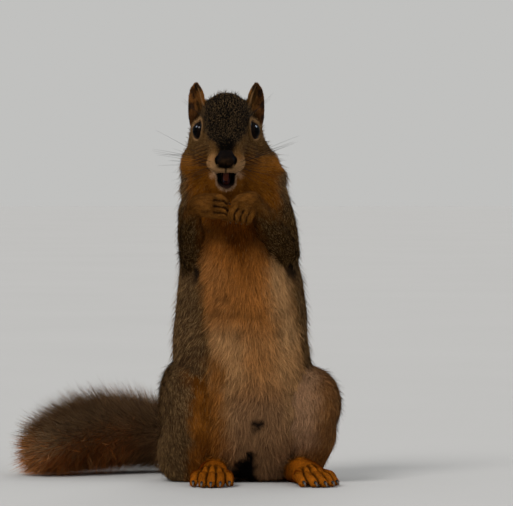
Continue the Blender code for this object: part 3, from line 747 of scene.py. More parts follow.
def head_markings(paints, fields, wander):
    """Dark crown and nose bridge, orange cheeks, buff muzzle and eye rings."""
    head, kinds, back = fields["head"], fields["kinds"], fields["normals"][:, 1]
    z = fields["places"][:, 2]
    hx, hy, hz = head.T
    aside = np.abs(hx)
    on_head = np.isin(kinds, ("head", "lower_jaw")) * 1.0
    face = on_head * ramp(back, 0.2, -0.35)
    gap, towards = distance_to_eye(head)
    crown = np.interp(z, *DARK_CROWN) + 2.4 * wander
    above = ramp(aside, crown + 2.4, crown - 2.0)
    paints.lay("shoulder", on_head * ramp(z, 228.0, 214.0) * ramp(back, 0.8, 0.2), 0.8)
    facing = ramp(back, np.where(hx > 0.0, -0.1, 0.1), np.where(hx > 0.0, -0.6, -0.4))
    paints.lay("cheek", on_head * facing * ramp(z, 222.0, 212.0), 0.2)
    paints.lay("under eye", face * ramp(z, 209.0, 214.0) * ramp(z, 238.0, 226.0) * 0.85, 0.45)
    paints.lay("throat", on_head * ramp(z, 209.0, 199.0) * facing, 0.15)
    rows = np.abs((z + 0.30 * aside) / 2.3 % 1.0 - 0.5)
    whisker_rows = ramp(rows, 0.26, 0.08) * ramp(aside, 10.0, 13.0) * ramp(aside, 24.0, 19.0)
    paints.lay("groin", 0.95 * face * whisker_rows * ramp(z, 205.0, 208.0) * ramp(z, 221.0, 217.0), 0.0)
    from_nose = np.linalg.norm((head - np.array(NOSE_TIP)) * np.array((1.0, 0.62, 0.95)), axis=1)
    low_face = ramp(z + 4.0 * wander, 215.0, 206.5)
    paints.lay("muzzle", on_head * ramp(from_nose + 3.0 * wander, 17.0, 9.5) * low_face * 0.92, 0.1)
    paints.lay("throat", (kinds == "lower_jaw") * 1.0, 0.1)
    above_mouth = ramp(hz, -25.5, -22.0)
    lips = ramp(mouth_reach(head), 1.22 + 0.35 * above_mouth, 1.08) * ramp(hy, -6.0, -14.0)
    corners = ramp(np.hypot(aside - 9.5, hz + 22.0), 5.0, 2.0) * ramp(hy, -14.0, -22.0)
    paints.lay("lip", on_head * np.maximum(lips * 0.9, corners * 0.75), 0.02)
    nape = ramp(hy + 9.0 * wander, 7.0, 21.0)
    paints.lay("crown", on_head * above * ramp(z, 213.0, 219.0) * (1.0 - nape), 0.45)
    paints.lay("crown", on_head * ramp(z, 232.0, 240.0) * ramp(back, -0.6, 0.2) * (1.0 - nape), 0.6)
    bridge = ramp(aside + 1.6 * wander, np.interp(z, *NOSE_BRIDGE), 3.0)
    paints.lay("nose bridge", on_head * bridge * ramp(z, 226.0, 218.0) * ramp(z, 203.0, 205.0), 0.02)
    medial = -np.sign(hx) * towards[:, 0]
    over = ramp(0.7 * np.maximum(-medial, 0.0) - 0.7 * towards[:, 2], -0.2, 0.7)
    under_lid = ramp(towards[:, 2], 0.45, 0.8) * ramp(gap, 7.5, 7.0)
    ring = ramp(gap, 8.6, 7.3) * (0.12 + 0.75 * over) + 0.7 * under_lid
    paints.lay("eye ring", face * ring, 0.05)
    paints.lay("dark", on_head * ramp(gap, 6.6, 6.2), 0.0)
    parting = ramp(aside, 0.9, 0.3) * ramp(z, 197.0, 199.0)
    parting = parting * ramp(z, 207.0, 205.0) * ramp(hy, -28.0, -31.0)
    paints.lay("dark", on_head * parting * 0.85, 0.0)
    paints.lay("mouth", on_head * inside_mouth(head), 0.0)
    # Painted shade, darker deeper in the mouth
    paints.lay("dark", on_head * inside_mouth(head) * ramp(hy, -29.0, -23.0), 0.0)

    ear = kinds == "ear"
    inner = ramp(aside, 18.5, 20.5)
    blotch_noise = soft_noise(fields["places"], 2.2, 8)
    paints.lay("ear", ear * 1.0, 0.2)
    paints.lay("shoulder", ear * (1.0 - inner) * ramp(back, 0.1, -0.3) * 0.8, 0.5)
    streak = ramp(soft_noise(fields["places"] * np.array((1.0, 1.0, 0.25)), 1.6, 9), 0.45, 0.7)
    paints.lay("ear light", ear * streak * ramp(back, 0.2, -0.3) * ramp(hz, 4.0, 10.0) * 0.75, 0.1)
    # A pale rim painted along the ears' upper edges as rim light
    paints.lay("ear rim light", ear * ramp(np.abs(back), 0.55, 0.25) * ramp(hz, 6.0, 12.0) * 0.6, 0.05)
    dark = np.zeros(len(z))
    for from_middle, height, radius in EAR_BLOTCHES:
        reach = np.hypot((aside - from_middle) * 1.3, z - height) + 5.0 * (blotch_noise - 0.5)
        dark = np.maximum(dark, ramp(reach, 1.2 * radius, 0.7 * radius))
    paints.lay("ear edge", ear * dark * ramp(back, 0.2, -0.1) * 0.85, 0.1)
    # Painted rim light along the ears' upper edges again, a little narrower
    paints.lay("ear rim light", ear * ramp(np.abs(back), 0.45, 0.2) * ramp(hz, 6.0, 12.0) * 0.5, 0.05)


def markings(fields):
    """The animal's colours, and how strongly its hairs are banded."""
    places, kinds = fields["places"], fields["kinds"]
    wander = soft_noise(places, 7.0, 3) - 0.5 + 0.45 * (soft_noise(places, 1.8, 4) - 0.5)
    paints = Paints(len(places), "grizzle", 0.85)
    trunk_markings(paints, fields, wander)
    limb_markings(paints, fields, wander)
    head_markings(paints, fields, wander)

    tail = (kinds == "tail") * 1.0
    _, along, _ = nearest_on_line(places, TAIL_LINE)
    axis_height = np.interp(along, range(len(TAIL_LINE)), [point[2] for point in TAIL_LINE])
    paints.lay("tail", tail, 0.9)
    far = ramp(places[:, 0], -58.0, -82.0)
    low = ramp(places[:, 2] - axis_height + 8.0 * wander, 8.0, -12.0)
    paints.lay("low tail", tail * low * (0.2 + 0.8 * far), 0.6)
    blotch = ramp(soft_noise(places, 7.0, 31), 0.5, 0.7) + ramp(soft_noise(places, 2.5, 32), 0.55, 0.7)
    paints.lay("groin", tail * np.clip(blotch, 0.0, 1.0) * 0.5, 0.8)

    locks = soft_noise(places * np.array((1.0, 1.0, 0.3)), 1.8, 41) + soft_noise(places, 3.5, 42)
    shade = 0.62 + 0.38 * locks
    # Painted shade in the skin's hollows and in the grooves between the fingers and between the toes
    shade *= 1.0 - 0.75 * np.clip(fields["painted_shade"], 0.0, 1.0)
    shade *= 1.0 - 0.8 * fields["groove"]
    streaks = soft_noise(places * np.array((0.4, 1.0, 1.0)), 1.1, 43)
    shade *= np.where(np.isin(kinds, ("hand", "forearm")), 0.55 + 0.85 * streaks, 1.0)
    paints.colour *= shade[:, None]
    return paints


# The coat --------------------------------------------------------------------

PATCH = 0.003  # how wide a tuft's own patch is in the baking map
FLOOR_CLEAR = 0.35  # mm between the floor and the lowest tuft
COVER = 7.1  # how many tufts deep the coat lies
WILD_SHARE = 0.05  # the share of the tufts that stand off from the rest
TAIL_HAIRS = 3.0  # how many of the tail's hairs reach each square mm of its outline
# Hair lengths, and a tuft's width at each, in mm
WIDTHS = ((0.0, 1.0, 2.0, 4.0, 8.0, 12.0, 34.0), (0.15, 0.17, 0.19, 0.24, 0.32, 0.35, 0.42))


def blade(name, rows, lean, bend):
    """One tuft, a unit long and wide: pairs of corners that narrow to a tip, bent back towards the skin."""
    mesh = bpy.data.meshes.new(name)
    corners, marks = [], []
    for height, half in rows:
        for side in (-1, 1):
            corners.append((side * half + lean * height**2, height, -bend * height**2))
            marks.append((0.5 + side * half, height))
    corners.append((lean, 1.0, -bend))
    marks.append((0.5, 1.0))
    faces = [(2 * i, 2 * i + 1, 2 * i + 3, 2 * i + 2) for i in range(len(rows) - 1)]
    last = 2 * len(rows) - 2
    faces.append((last, last + 1, last + 2))
    mesh.from_pydata(corners, [], faces)
    along = mesh.attributes.new("along", "FLOAT", "POINT")
    along.data.foreach_set("value", [mark[1] for mark in marks])
    place = mesh.attributes.new("blade_place", "FLOAT_VECTOR", "POINT")
    place.data.foreach_set("vector", [value for mark in marks for value in (*mark, 0.0)])
    return bpy.data.objects.new(name, mesh)


def blade_set(name, rows, bend):
    """A few tufts that differ in lean and bend, in a collection that only the coat's making uses."""
    group = bpy.data.collections.new(name)
    for number, lean in enumerate((-0.16, -0.05, 0.06, 0.17)):
        group.objects.link(blade(f"{name}_{number}", rows, lean, bend * (0.7 + 0.25 * number)))
    return group


class Nodes:
    """Short ways of adding nodes to one tree, of geometry or of shading."""

    def __init__(self, tree):
        self.tree = tree

    def put(self, socket, value):
        """Wires the socket to the value where that is a socket too, or else sets it."""
        if hasattr(value, "links"):
            self.tree.links.new(value, socket)
        elif value is not None:
            socket.default_value = value

    def made(self, kind, given=(), **settings):
        """A new node with its settings, and with its inputs given in order, or by name or number."""
        node = self.tree.nodes.new(kind)
        for name, value in settings.items():
            setattr(node, name, value)
        for key, value in given.items() if isinstance(given, dict) else enumerate(given):
            self.put(node.inputs[key], value)
        return node

    def maths(self, operation, *values):
        return self.made("ShaderNodeMath", values, operation=operation).outputs[0]

    def vector(self, x, y, z):
        return self.made("ShaderNodeCombineXYZ", (x, y, z)).outputs[0]

    def scaled(self, vector, scale):
        return self.made("ShaderNodeVectorMath", {0: vector, "Scale": scale}, operation="SCALE").outputs[0]

    def step(self, value, low, high, to_low=0.0, to_high=1.0):
        """A smooth step from to_low, where the value is low, up to to_high."""
        given = {"Value": value, "From Min": low, "From Max": high, "To Min": to_low, "To Max": to_high}
        return self.made("ShaderNodeMapRange", given, interpolation_type="SMOOTHSTEP").outputs[0]

    def blend(self, share, first, second):
        node = self.made("ShaderNodeMix", {"Factor": share}, data_type="RGBA", blend_type="MIX")
        colours = [socket for socket in node.inputs if socket.type == "RGBA"]
        self.put(colours[0], first)
        self.put(colours[1], second)
        return next(socket for socket in node.outputs if socket.type == "RGBA")

    def attribute(self, name, output="Fac"):
        return self.made("ShaderNodeAttribute", attribute_name=name).outputs[output]

    def noise(self, scale, detail=2.0, stretch=None):
        """Noise in the piece's own coordinates, drawn out along them where stretch is given."""
        vector = self.made("ShaderNodeTexCoord").outputs["Object"]
        if stretch is not None:
            vector = self.made("ShaderNodeMapping", {"Scale": stretch, "Vector": vector}).outputs[0]
        given = {"Scale": scale, "Detail": detail, "Vector": vector}
        return self.made("ShaderNodeTexNoise", given).outputs["Fac"]

    def bump(self, height, strength, distance):
        given = {"Strength": strength, "Distance": distance, "Height": height}
        return self.made("ShaderNodeBump", given).outputs[0]


def new_group(name, kind, given, sent):
    """A node tree with named inputs and one output, and its group input's and output's sockets."""
    tree = bpy.data.node_groups.new(name, kind)
    for socket, socket_kind in given:
        tree.interface.new_socket(socket, in_out="INPUT", socket_type="NodeSocket" + socket_kind)
    tree.interface.new_socket(sent[0], in_out="OUTPUT", socket_type="NodeSocket" + sent[1])
    n = Nodes(tree)
    return n, n.made("NodeGroupInput").outputs, n.made("NodeGroupOutput").inputs[0]


def tuft_tree():
    """Geometry Nodes that turn a patch of skin into tufts that lie along it."""
    n, given, sent = new_group("tufts", "GeometryNodeTree", (
        ("Geometry", "Geometry"), ("Blades", "Collection"), ("Seed", "Int"), ("Thinning", "Float"),
        ("Stray", "Float"), ("Wildness", "Float"), ("Floor", "Float"), ("Patch", "Float"),
        ("Finish", "Material"),
    ), ("Geometry", "Geometry"))

    def attribute(name, kind="FLOAT"):
        return n.made("GeometryNodeInputNamedAttribute", {"Name": name}, data_type=kind).outputs["Attribute"]

    def chance(low, high, number, kind="FLOAT"):
        """A random value for each tuft. The number keeps one draw apart from another."""
        seed = n.maths("ADD", given["Seed"], float(number))
        node = n.made("FunctionNodeRandomValue", {"Seed": seed}, data_type=kind)
        limits = {socket.name: socket for socket in node.inputs if socket.enabled}
        limits["Min"].default_value, limits["Max"].default_value = low, high
        return next(socket for socket in node.outputs if socket.enabled)

    scatter = n.made("GeometryNodeDistributePointsOnFaces", {
        "Mesh": given["Geometry"], "Seed": given["Seed"],
        "Density": n.maths("MULTIPLY", attribute("hair_count"), given["Thinning"]),
    }, distribute_method="RANDOM")

    facing = n.made("FunctionNodeAxesToRotation", {
        "Primary Axis": attribute("lie", "FLOAT_VECTOR"), "Secondary Axis": attribute("out", "FLOAT_VECTOR"),
    }, primary_axis="Y", secondary_axis="Z")
    wild = n.maths("LESS_THAN", chance(0.0, 1.0, 18), WILD_SHARE)
    yaw = n.maths("MULTIPLY", chance(-1.0, 1.0, 11), given["Stray"])
    rise = n.maths("MULTIPLY", attribute("hair_rise"), chance(0.4, 1.4, 12))
    rise = n.maths("MULTIPLY_ADD", wild, given["Wildness"], rise)
    roll = n.maths("MULTIPLY", chance(-1.0, 1.0, 13), 0.75)
    raised = n.made("FunctionNodeEulerToRotation", (n.vector(rise, roll, yaw),))
    turn = n.made(
        "FunctionNodeRotateRotation", {"Rotation": facing.outputs[0], "Rotate By": raised.outputs[0]},
        rotation_space="LOCAL",
    )

    length = n.maths("MULTIPLY", attribute("hair_length"), chance(0.7, 1.2, 14))
    longer = n.maths("MULTIPLY", wild, n.maths("MULTIPLY", given["Wildness"], 0.7))
    length = n.maths("MULTIPLY", length, n.maths("ADD", longer, 1.0))
    width = n.maths("MULTIPLY", attribute("hair_width"), chance(0.7, 1.25, 15))
    choice = n.made("GeometryNodeCollectionInfo", {
        "Collection": given["Blades"], "Separate Children": True, "Reset Children": True,
    })
    plant = n.made("GeometryNodeInstanceOnPoints", {
        "Points": scatter.outputs["Points"], "Instance": choice.outputs[0], "Pick Instance": True,
        "Instance Index": chance(0, 3, 16, "INT"), "Rotation": turn.outputs[0],
        "Scale": n.vector(width, length, length),
    })
    label = n.made("GeometryNodeStoreNamedAttribute", {
        "Geometry": plant.outputs[0], "Name": "tuft", "Value": chance(0.0, 1.0, 17),
    }, data_type="FLOAT", domain="INSTANCE")
    real = n.made("GeometryNodeRealizeInstances", (label.outputs[0],))

    parts = n.made("ShaderNodeSeparateXYZ", (n.made("GeometryNodeInputPosition").outputs[0],)).outputs
    above = n.vector(parts[0], parts[1], n.maths("MAXIMUM", parts[2], given["Floor"]))
    lift = n.made("GeometryNodeSetPosition", {"Geometry": real.outputs[0], "Position": above})

    on_blade = (attribute("blade_place", "FLOAT_VECTOR"), (0.5, 0.5, 0.0))
    centred = n.made("ShaderNodeVectorMath", on_blade, operation="SUBTRACT").outputs[0]
    on_map = (attribute("root_place", "FLOAT_VECTOR"), n.scaled(centred, given["Patch"]))
    patch = n.made("ShaderNodeVectorMath", on_map, operation="ADD").outputs[0]
    store = n.made(
        "GeometryNodeStoreNamedAttribute", {"Geometry": lift.outputs[0], "Name": "OFBake"},
        data_type="FLOAT2", domain="CORNER",
    )
    n.put(next(socket for socket in store.inputs if socket.name == "Value" and socket.enabled), patch)
    finish = n.made("GeometryNodeSetMaterial", {"Geometry": store.outputs[0], "Material": given["Finish"]})
    n.put(sent, finish.outputs[0])
    return n.tree


def set_inputs(modifier, **values):
    """Sets a Geometry Nodes modifier's inputs by their names, through their identifiers."""
    named = {s.name: s.identifier for s in modifier.node_group.interface.items_tree if s.in_out == "INPUT"}
    for name, value in values.items():
        modifier[named[name]] = value


def region_of(fields):
    """The coat piece that each corner's hair belongs to."""
    owner = np.array(flesh_nodes)[fields["owner"]]
    behind = fields["places"][:, 1] > 2.0
    left = fields["head"][:, 0] > 0.0
    names = np.array([REGION.get(node, kind_of(node)) for node in flesh_nodes], object)[fields["owner"]]
    crown = (fields["kinds"] == "head") & (fields["head"][:, 1] > 4.0)
    names[crown] = "crown"
    face = names == "face"
    names[face & left] = "face_left"
    names[face & ~left] = "face_right"
    names[(owner == "belly") & behind] = "back"
    return names


REGION = {
    "head": "face", "lower_jaw": "face", "upper_arm_left": "arms", "upper_arm_right": "arms",
    "forearm_left": "arms", "forearm_right": "arms", "hand_left": "hand_left", "hand_right": "hand_right",
    "thigh_left": "leg_left", "shin_left": "leg_left", "thigh_right": "leg_right",
    "shin_right": "leg_right", "foot_left": "foot_left", "foot_right": "foot_right", "ear_left": "ears",
    "ear_right": "ears", "tail_base": "tail_base", "tail_middle": "tail_middle", "tail_tip": "tail_tip",
}


def put_attribute(mesh, name, kind, values):
    key = {"FLOAT": "value", "FLOAT_VECTOR": "vector", "FLOAT_COLOR": "color"}[kind]
    attribute = mesh.attributes.new(name, kind, "POINT")
    attribute.data.foreach_set(key, np.asarray(values, np.float32).ravel())


def unwrap(obj, layer):
    """Unwraps the whole mesh into the unit square."""
    obj.data.uv_layers.new(name=layer)
    bpy.context.view_layer.objects.active = obj
    obj.select_set(True)
    bpy.ops.object.mode_set(mode="EDIT")
    bpy.ops.mesh.select_all(action="SELECT")
    bpy.ops.uv.smart_project(angle_limit=math.radians(66), island_margin=0.004)
    bpy.ops.object.mode_set(mode="OBJECT")
    obj.select_set(False)


def coat_values(fields, paints):
    """Every value that the tufts read from the skin, by attribute name, with its kind."""
    length = fields["length"]
    width = np.interp(length, *WIDTHS)
    count = np.where(fields["kinds"] == "tail", TAIL_HAIRS * fields["fan"], COVER / (width * length))
    count *= 1.0 - fields["bare"]
    return {
        "lie": ("FLOAT_VECTOR", fields["lie"]),
        "out": ("FLOAT_VECTOR", fields["normals"]),
        "hair_length": ("FLOAT", length * MM),
        "hair_width": ("FLOAT", width * MM),
        "hair_count": ("FLOAT", count / MM**2),
        "hair_rise": ("FLOAT", np.radians(fields["rise"])),
        "coat_colour": ("FLOAT_COLOR", np.column_stack([paints.colour, np.ones(len(length))])),
        "grizzle": ("FLOAT", paints.grizzle),
    }


def skin_patch(name, mesh, chosen, values):
    """A copy of the chosen triangles of the skin, with the values that its tufts read."""
    corners, place_of = np.unique(chosen, return_inverse=True)
    patch = bpy.data.meshes.new(name)
    patch.from_pydata(mesh_places(mesh)[corners].tolist(), [], place_of.reshape(chosen.shape).tolist())
    for key, (kind, rows) in values.items():
        put_attribute(patch, key, kind, rows[corners])
    return object_of(name, patch)


# Attributes that only the making of the tufts reads
TUFT_INPUTS = (
    "lie", "out", "hair_length", "hair_width", "hair_count", "hair_rise", "blade_place", "root_place",
)


def grow(name, patch, seed, blades, finish, thinning, stray, wildness):
    """The tufts that stand on a patch of skin, as one plain mesh."""
    unwrap(patch, "root_place")
    tufts = patch.modifiers.new("tufts", "NODES")
    tufts.node_group = TUFTS
    set_inputs(
        tufts, Blades=blades, Seed=seed, Thinning=thinning, Stray=stray, Wildness=wildness,
        Patch=PATCH, Finish=finish, Floor=FLOOR_CLEAR * MM,
    )
    applied(patch)
    mesh = patch.data
    for key in TUFT_INPUTS:
        if key in mesh.attributes:
            mesh.attributes.remove(mesh.attributes[key])
    patch.name = mesh.name = name
    return patch


# Finishes --------------------------------------------------------------------


def new_finish(name, roughness, specular):
    """A new material, short ways of adding nodes to it, and the inputs of its Principled BSDF."""
    material = bpy.data.materials.new(name)
    material.use_nodes = True
    shader = material.node_tree.nodes["Principled BSDF"].inputs
    shader["Roughness"].default_value = roughness
    shader["Specular IOR Level"].default_value = specular
    return material, Nodes(material.node_tree), shader


def colour4(red, green, blue):
    return (*srgb(red, green, blue), 1.0)


TICKS, BLACK_HAIR = (158, 124, 82), (12, 9, 7)


def fur_tone():
    """How one hair is coloured from root to tip, shared by the tufts and the skin under them."""
    n, given, sent = new_group("fur tone", "ShaderNodeTree", (
        ("Coat Colour", "Color"), ("Grizzle", "Float"), ("Along", "Float"), ("Tuft", "Float"),
    ), ("Colour", "Color"))
    along, tuft, grizzle = given["Along"], given["Tuft"], given["Grizzle"]
    other = n.maths("FRACT", n.maths("MULTIPLY", tuft, 7.31))
    third = n.maths("FRACT", n.maths("MULTIPLY", tuft, 23.7))

    shade = n.step(along, 0.0, 0.55, 0.42, 1.0)
    varied = n.maths("MULTIPLY", shade, n.step(other, 0.0, 1.0, 0.72, 1.28))
    plain = n.scaled(given["Coat Colour"], varied)

    ticked = n.maths("GREATER_THAN", n.maths("MULTIPLY_ADD", grizzle, 0.42, tuft), 1.0)
    band = n.maths("MULTIPLY", n.step(along, 0.45, 0.6), n.step(along, 0.98, 0.84))
    pale = n.maths("MULTIPLY", band, ticked)
    black = n.maths("MULTIPLY", n.step(third, 0.35, 0.6), n.step(along, 0.35, 0.7))
    black = n.maths("MULTIPLY", black, grizzle)
    darker = n.blend(n.maths("MULTIPLY", black, 0.72), plain, colour4(*BLACK_HAIR))
    lighter = n.blend(n.step(grizzle, 0.3, 0.9, 0.5, 0.75), given["Coat Colour"], colour4(*TICKS))
    n.put(sent, n.blend(n.maths("MULTIPLY", pale, 0.85), darker, lighter))
    return n.tree


def in_fur_tone(n, along, tuft):
    """The fur tone group in a material, reading the markings from the piece."""
    return n.made("ShaderNodeGroup", {
        "Coat Colour": n.attribute("coat_colour", "Color"), "Grizzle": n.attribute("grizzle"),
        "Along": along, "Tuft": tuft,
    }, node_tree=FUR_TONE).outputs["Colour"]


def tuft_finish(name, roughness):
    material, n, shader = new_finish(name, roughness, 0.015)
    n.put(shader["Base Color"], in_fur_tone(n, n.attribute("along"), n.attribute("tuft")))
    return material


def skin_finish():
    """Short flat hair over skin: the coat's own colours, streaked along and a little darker."""
    material, n, shader = new_finish("short fur over skin", 0.85, 0.015)
    fleck = n.step(n.noise(1500.0, 1.0), 0.3, 0.7)
    n.put(shader["Base Color"], in_fur_tone(n, n.step(n.noise(700.0, 2.0), 0.3, 0.7, 0.05, 0.4), fleck))
    n.put(shader["Normal"], n.bump(n.noise(1300.0, 3.0), 0.5, 0.0005))
    return material


def eye_finish():
    """A big dark pupil in a brown-black iris, under a wet clear cornea."""
    material, n, shader = new_finish("eye gloss", 0.05, 0.22)
    from_pupil, fibres = n.attribute("from_pupil"), n.noise(900.0, 3.0)
    iris = n.blend(fibres, colour4(6, 4, 3), colour4(22, 13, 8))
    tone = n.blend(n.step(from_pupil, 0.42, 0.5), colour4(3, 3, 3), iris)
    n.put(shader["Base Color"], n.blend(n.step(from_pupil, 0.8, 0.9), tone, colour4(8, 6, 5)))
    n.put(shader["Roughness"], n.step(fibres, 0.2, 0.8, 0.04, 0.07))
    shader["IOR"].default_value = 1.38
    return material


def leather_finish(name, dark, light, roughness, wet):
    """Bare skin: nose, lids and tongue, finely pebbled, with painted shade darkening its hollows."""
    material, n, shader = new_finish(name, roughness, 0.03)
    pebble = n.noise(2600.0, 2.0)
    tone = n.blend(n.step(n.noise(320.0, 3.0), 0.3, 0.75), colour4(*dark), colour4(*light))
    # Painted shade: near black as far as the piece's shade attribute says
    n.put(shader["Base Color"], n.blend(n.attribute("painted_shade"), tone, colour4(4, 2, 2)))
    n.put(shader["Roughness"], n.step(pebble, 0.3, 0.7, roughness - 0.08, roughness + 0.1))
    shader["Coat Weight"].default_value = wet
    shader["Coat Roughness"].default_value = 0.2
    n.put(shader["Normal"], n.bump(pebble, 0.35, 0.0003))
    return material


def horn_finish(name, base, tip, roughness):
    """Claw or tooth: lengthwise streaks, changing from base to tip."""
    material, n, shader = new_finish(name, roughness, 0.25)
    streak = n.noise(600.0, 3.0, stretch=(3.0, 3.0, 0.6))
    tone = n.blend(n.step(n.attribute("to_tip"), 0.45, 0.95), colour4(*base), colour4(*tip))
    n.put(shader["Base Color"], n.blend(n.step(streak, 0.35, 0.8, 0.0, 0.35), tone, colour4(12, 8, 5)))
    n.put(shader["Roughness"], n.step(streak, 0.3, 0.7, roughness - 0.08, roughness + 0.08))
    n.put(shader["Normal"], n.bump(streak, 0.2, 0.0002))
    return material


def whisker_finish():
    material, n, shader = new_finish("whisker", 0.6, 0.1)
    n.put(shader["Base Color"], n.blend(n.noise(500.0), colour4(10, 8, 7), colour4(34, 26, 20)))
    return material


def floor_finish():
    """A pale floor that shows darker in the eyes and on the nose than it is."""
    material, n, shader = new_finish("pale floor", 0.9, 0.0)
    tone = n.blend(n.noise(3.0, 4.0), colour4(182, 182, 182), colour4(187, 187, 187))
    in_eyes = n.made("ShaderNodeLightPath").outputs["Is Glossy Ray"]
    n.put(shader["Base Color"], n.blend(in_eyes, tone, colour4(70, 70, 70)))
    return material


# Eyes, nose, whiskers, claws, teeth and tongue -------------------------------


def to_frame(head_rows):
    """Rows in the head's frame, in millimetres, put in the frame's metres."""
    return (head_to_body(head_rows) + FRAME_SHIFT) * MM


def mesh_piece(name, corners, faces, finish):
    """A mesh object from rows in metres, its faces turned outwards."""
    mesh = bpy.data.meshes.new(name)
    mesh.from_pydata(np.asarray(corners, float).tolist(), [], [list(map(int, face)) for face in faces])
    bm = bmesh.new()
    bm.from_mesh(mesh)
    bmesh.ops.recalc_face_normals(bm, faces=bm.faces)
    bm.to_mesh(mesh)
    bm.free()
    dress(mesh, finish)
    return object_of(name, mesh)


def grid_faces(rows, columns, closed=False):
    """The quads of a grid of corners, its columns joined round where it is closed."""
    faces = []
    for i in range(rows - 1):
        for j in range(columns if closed else columns - 1):
            k = (j + 1) % columns
            faces.append((i * columns + j, i * columns + k, (i + 1) * columns + k, (i + 1) * columns + j))
    return faces


def eye_way(axes, angle, turn):
    """The direction that lies at an angle to the pupil's axis, turned round it."""
    axis, across, up = axes
    return axis * math.cos(angle) + (across * math.cos(turn) + up * math.sin(turn)) * math.sin(angle)


def build_eye(side):
    """An eyeball whose pole is its pupil, with the cornea standing a little proud."""
    rings, spokes = 40, 64
    axes = side_axes(EYE_AXIS[side])
    corners, from_pupil = [], []
    for ring in range(rings + 1):
        angle = math.pi * ring / rings
        radius = EYE_RADIUS * (1.0 + 0.035 * math.exp(-((angle / 0.75) ** 2)))
        for spoke in range(spokes):
            way = eye_way(axes, angle, 2 * math.pi * spoke / spokes)
            corners.append(np.array(EYE_AT[side]) + way * radius)
            from_pupil.append(angle)
    faces = grid_faces(rings + 1, spokes, closed=True)
    eye = mesh_piece("eye_" + side + "_ball", to_frame(corners), faces, EYE_GLOSS)
    put_attribute(eye.data, "from_pupil", "FLOAT", from_pupil)
    weld(eye)
    return eye


def weld(obj, gap=1e-6):
    """Merges corners that lie together, and turns the faces outwards."""
    bm = bmesh.new()
    bm.from_mesh(obj.data)
    bmesh.ops.remove_doubles(bm, verts=bm.verts, dist=gap)
    bmesh.ops.dissolve_degenerate(bm, edges=bm.edges, dist=gap)
    bmesh.ops.recalc_face_normals(bm, faces=bm.faces)
    bm.to_mesh(obj.data)
    bm.free()


def rim_angles(side, tree, spokes):
    """How far from the pupil's axis the flesh closes over the eye, all the way round."""
    axes = side_axes(EYE_AXIS[side])
    found = []
    for spoke in range(spokes):
        for degrees in range(20, 125):
            angle = math.radians(degrees)
            way = eye_way(axes, angle, 2 * math.pi * spoke / spokes)
            place = Vector(to_frame([np.array(EYE_AT[side]) + way * (EYE_RADIUS + 0.8)])[0])
            near, normal, _, _ = tree.find_nearest(place)
            if (place - near).dot(normal) < 0.0:
                break
        found.append(angle)
    found = np.array(found)
    for _ in range(4):
        found = (np.roll(found, 1) + 2 * found + np.roll(found, -1)) / 4
    return found


def build_lids(side, tree):
    """The dark bare rim of both lids: a soft ring that follows their edge over the eyeball."""
    spokes, around = 72, 10
    axis, across, up = side_axes(EYE_AXIS[side])
    angles = rim_angles(side, tree, spokes)
    corners = []
    for spoke, angle in enumerate(angles):
        turn = 2 * math.pi * spoke / spokes
        sideways = across * math.cos(turn) + up * math.sin(turn)
        way = axis * math.cos(angle) + sideways * math.sin(angle)
        outward = sideways * math.cos(angle) - axis * math.sin(angle)
        middle = np.array(EYE_AT[side]) + way * (EYE_RADIUS + 0.12)
        for step in range(around):
            swing = 2 * math.pi * step / around
            corners.append(middle + outward * 0.6 * math.cos(swing) + way * 0.42 * math.sin(swing))
    faces = grid_faces(spokes, around, closed=True)
    last = (spokes - 1) * around
    faces += [(last + j, last + (j + 1) % around, (j + 1) % around, j) for j in range(around)]
    lids = mesh_piece("eye_" + side + "_lids", to_frame(corners), faces, LID_SKIN)
    put_attribute(lids.data, "painted_shade", "FLOAT", np.zeros(len(corners)))
    return lids


# The middle line of a nostril: across and up from the nose's middle
NOSTRIL = [(2.6, -4.6), (4.2, -4.0), (5.4, -2.7), (6.1, -0.9), (6.2, 0.9), (5.7, 2.2)]
NOSE_MIDDLE = (0.0, -31.5, -8.9)
# Up from the nose's middle, half its width there, and how far forward it stands
NOSE_SHAPE = (
    (-7.4, 0.5, 0.6), (-6.2, 2.4, 2.3), (-5.0, 4.4, 3.7), (-3.6, 6.0, 4.8), (-2.2, 6.9, 5.5),
    (-0.6, 7.3, 5.9), (0.8, 7.1, 5.8), (2.0, 6.2, 5.2), (3.2, 5.1, 4.2), (4.6, 4.3, 2.6),
    (6.0, 3.8, 0.4), (7.0, 3.2, -1.4),
)


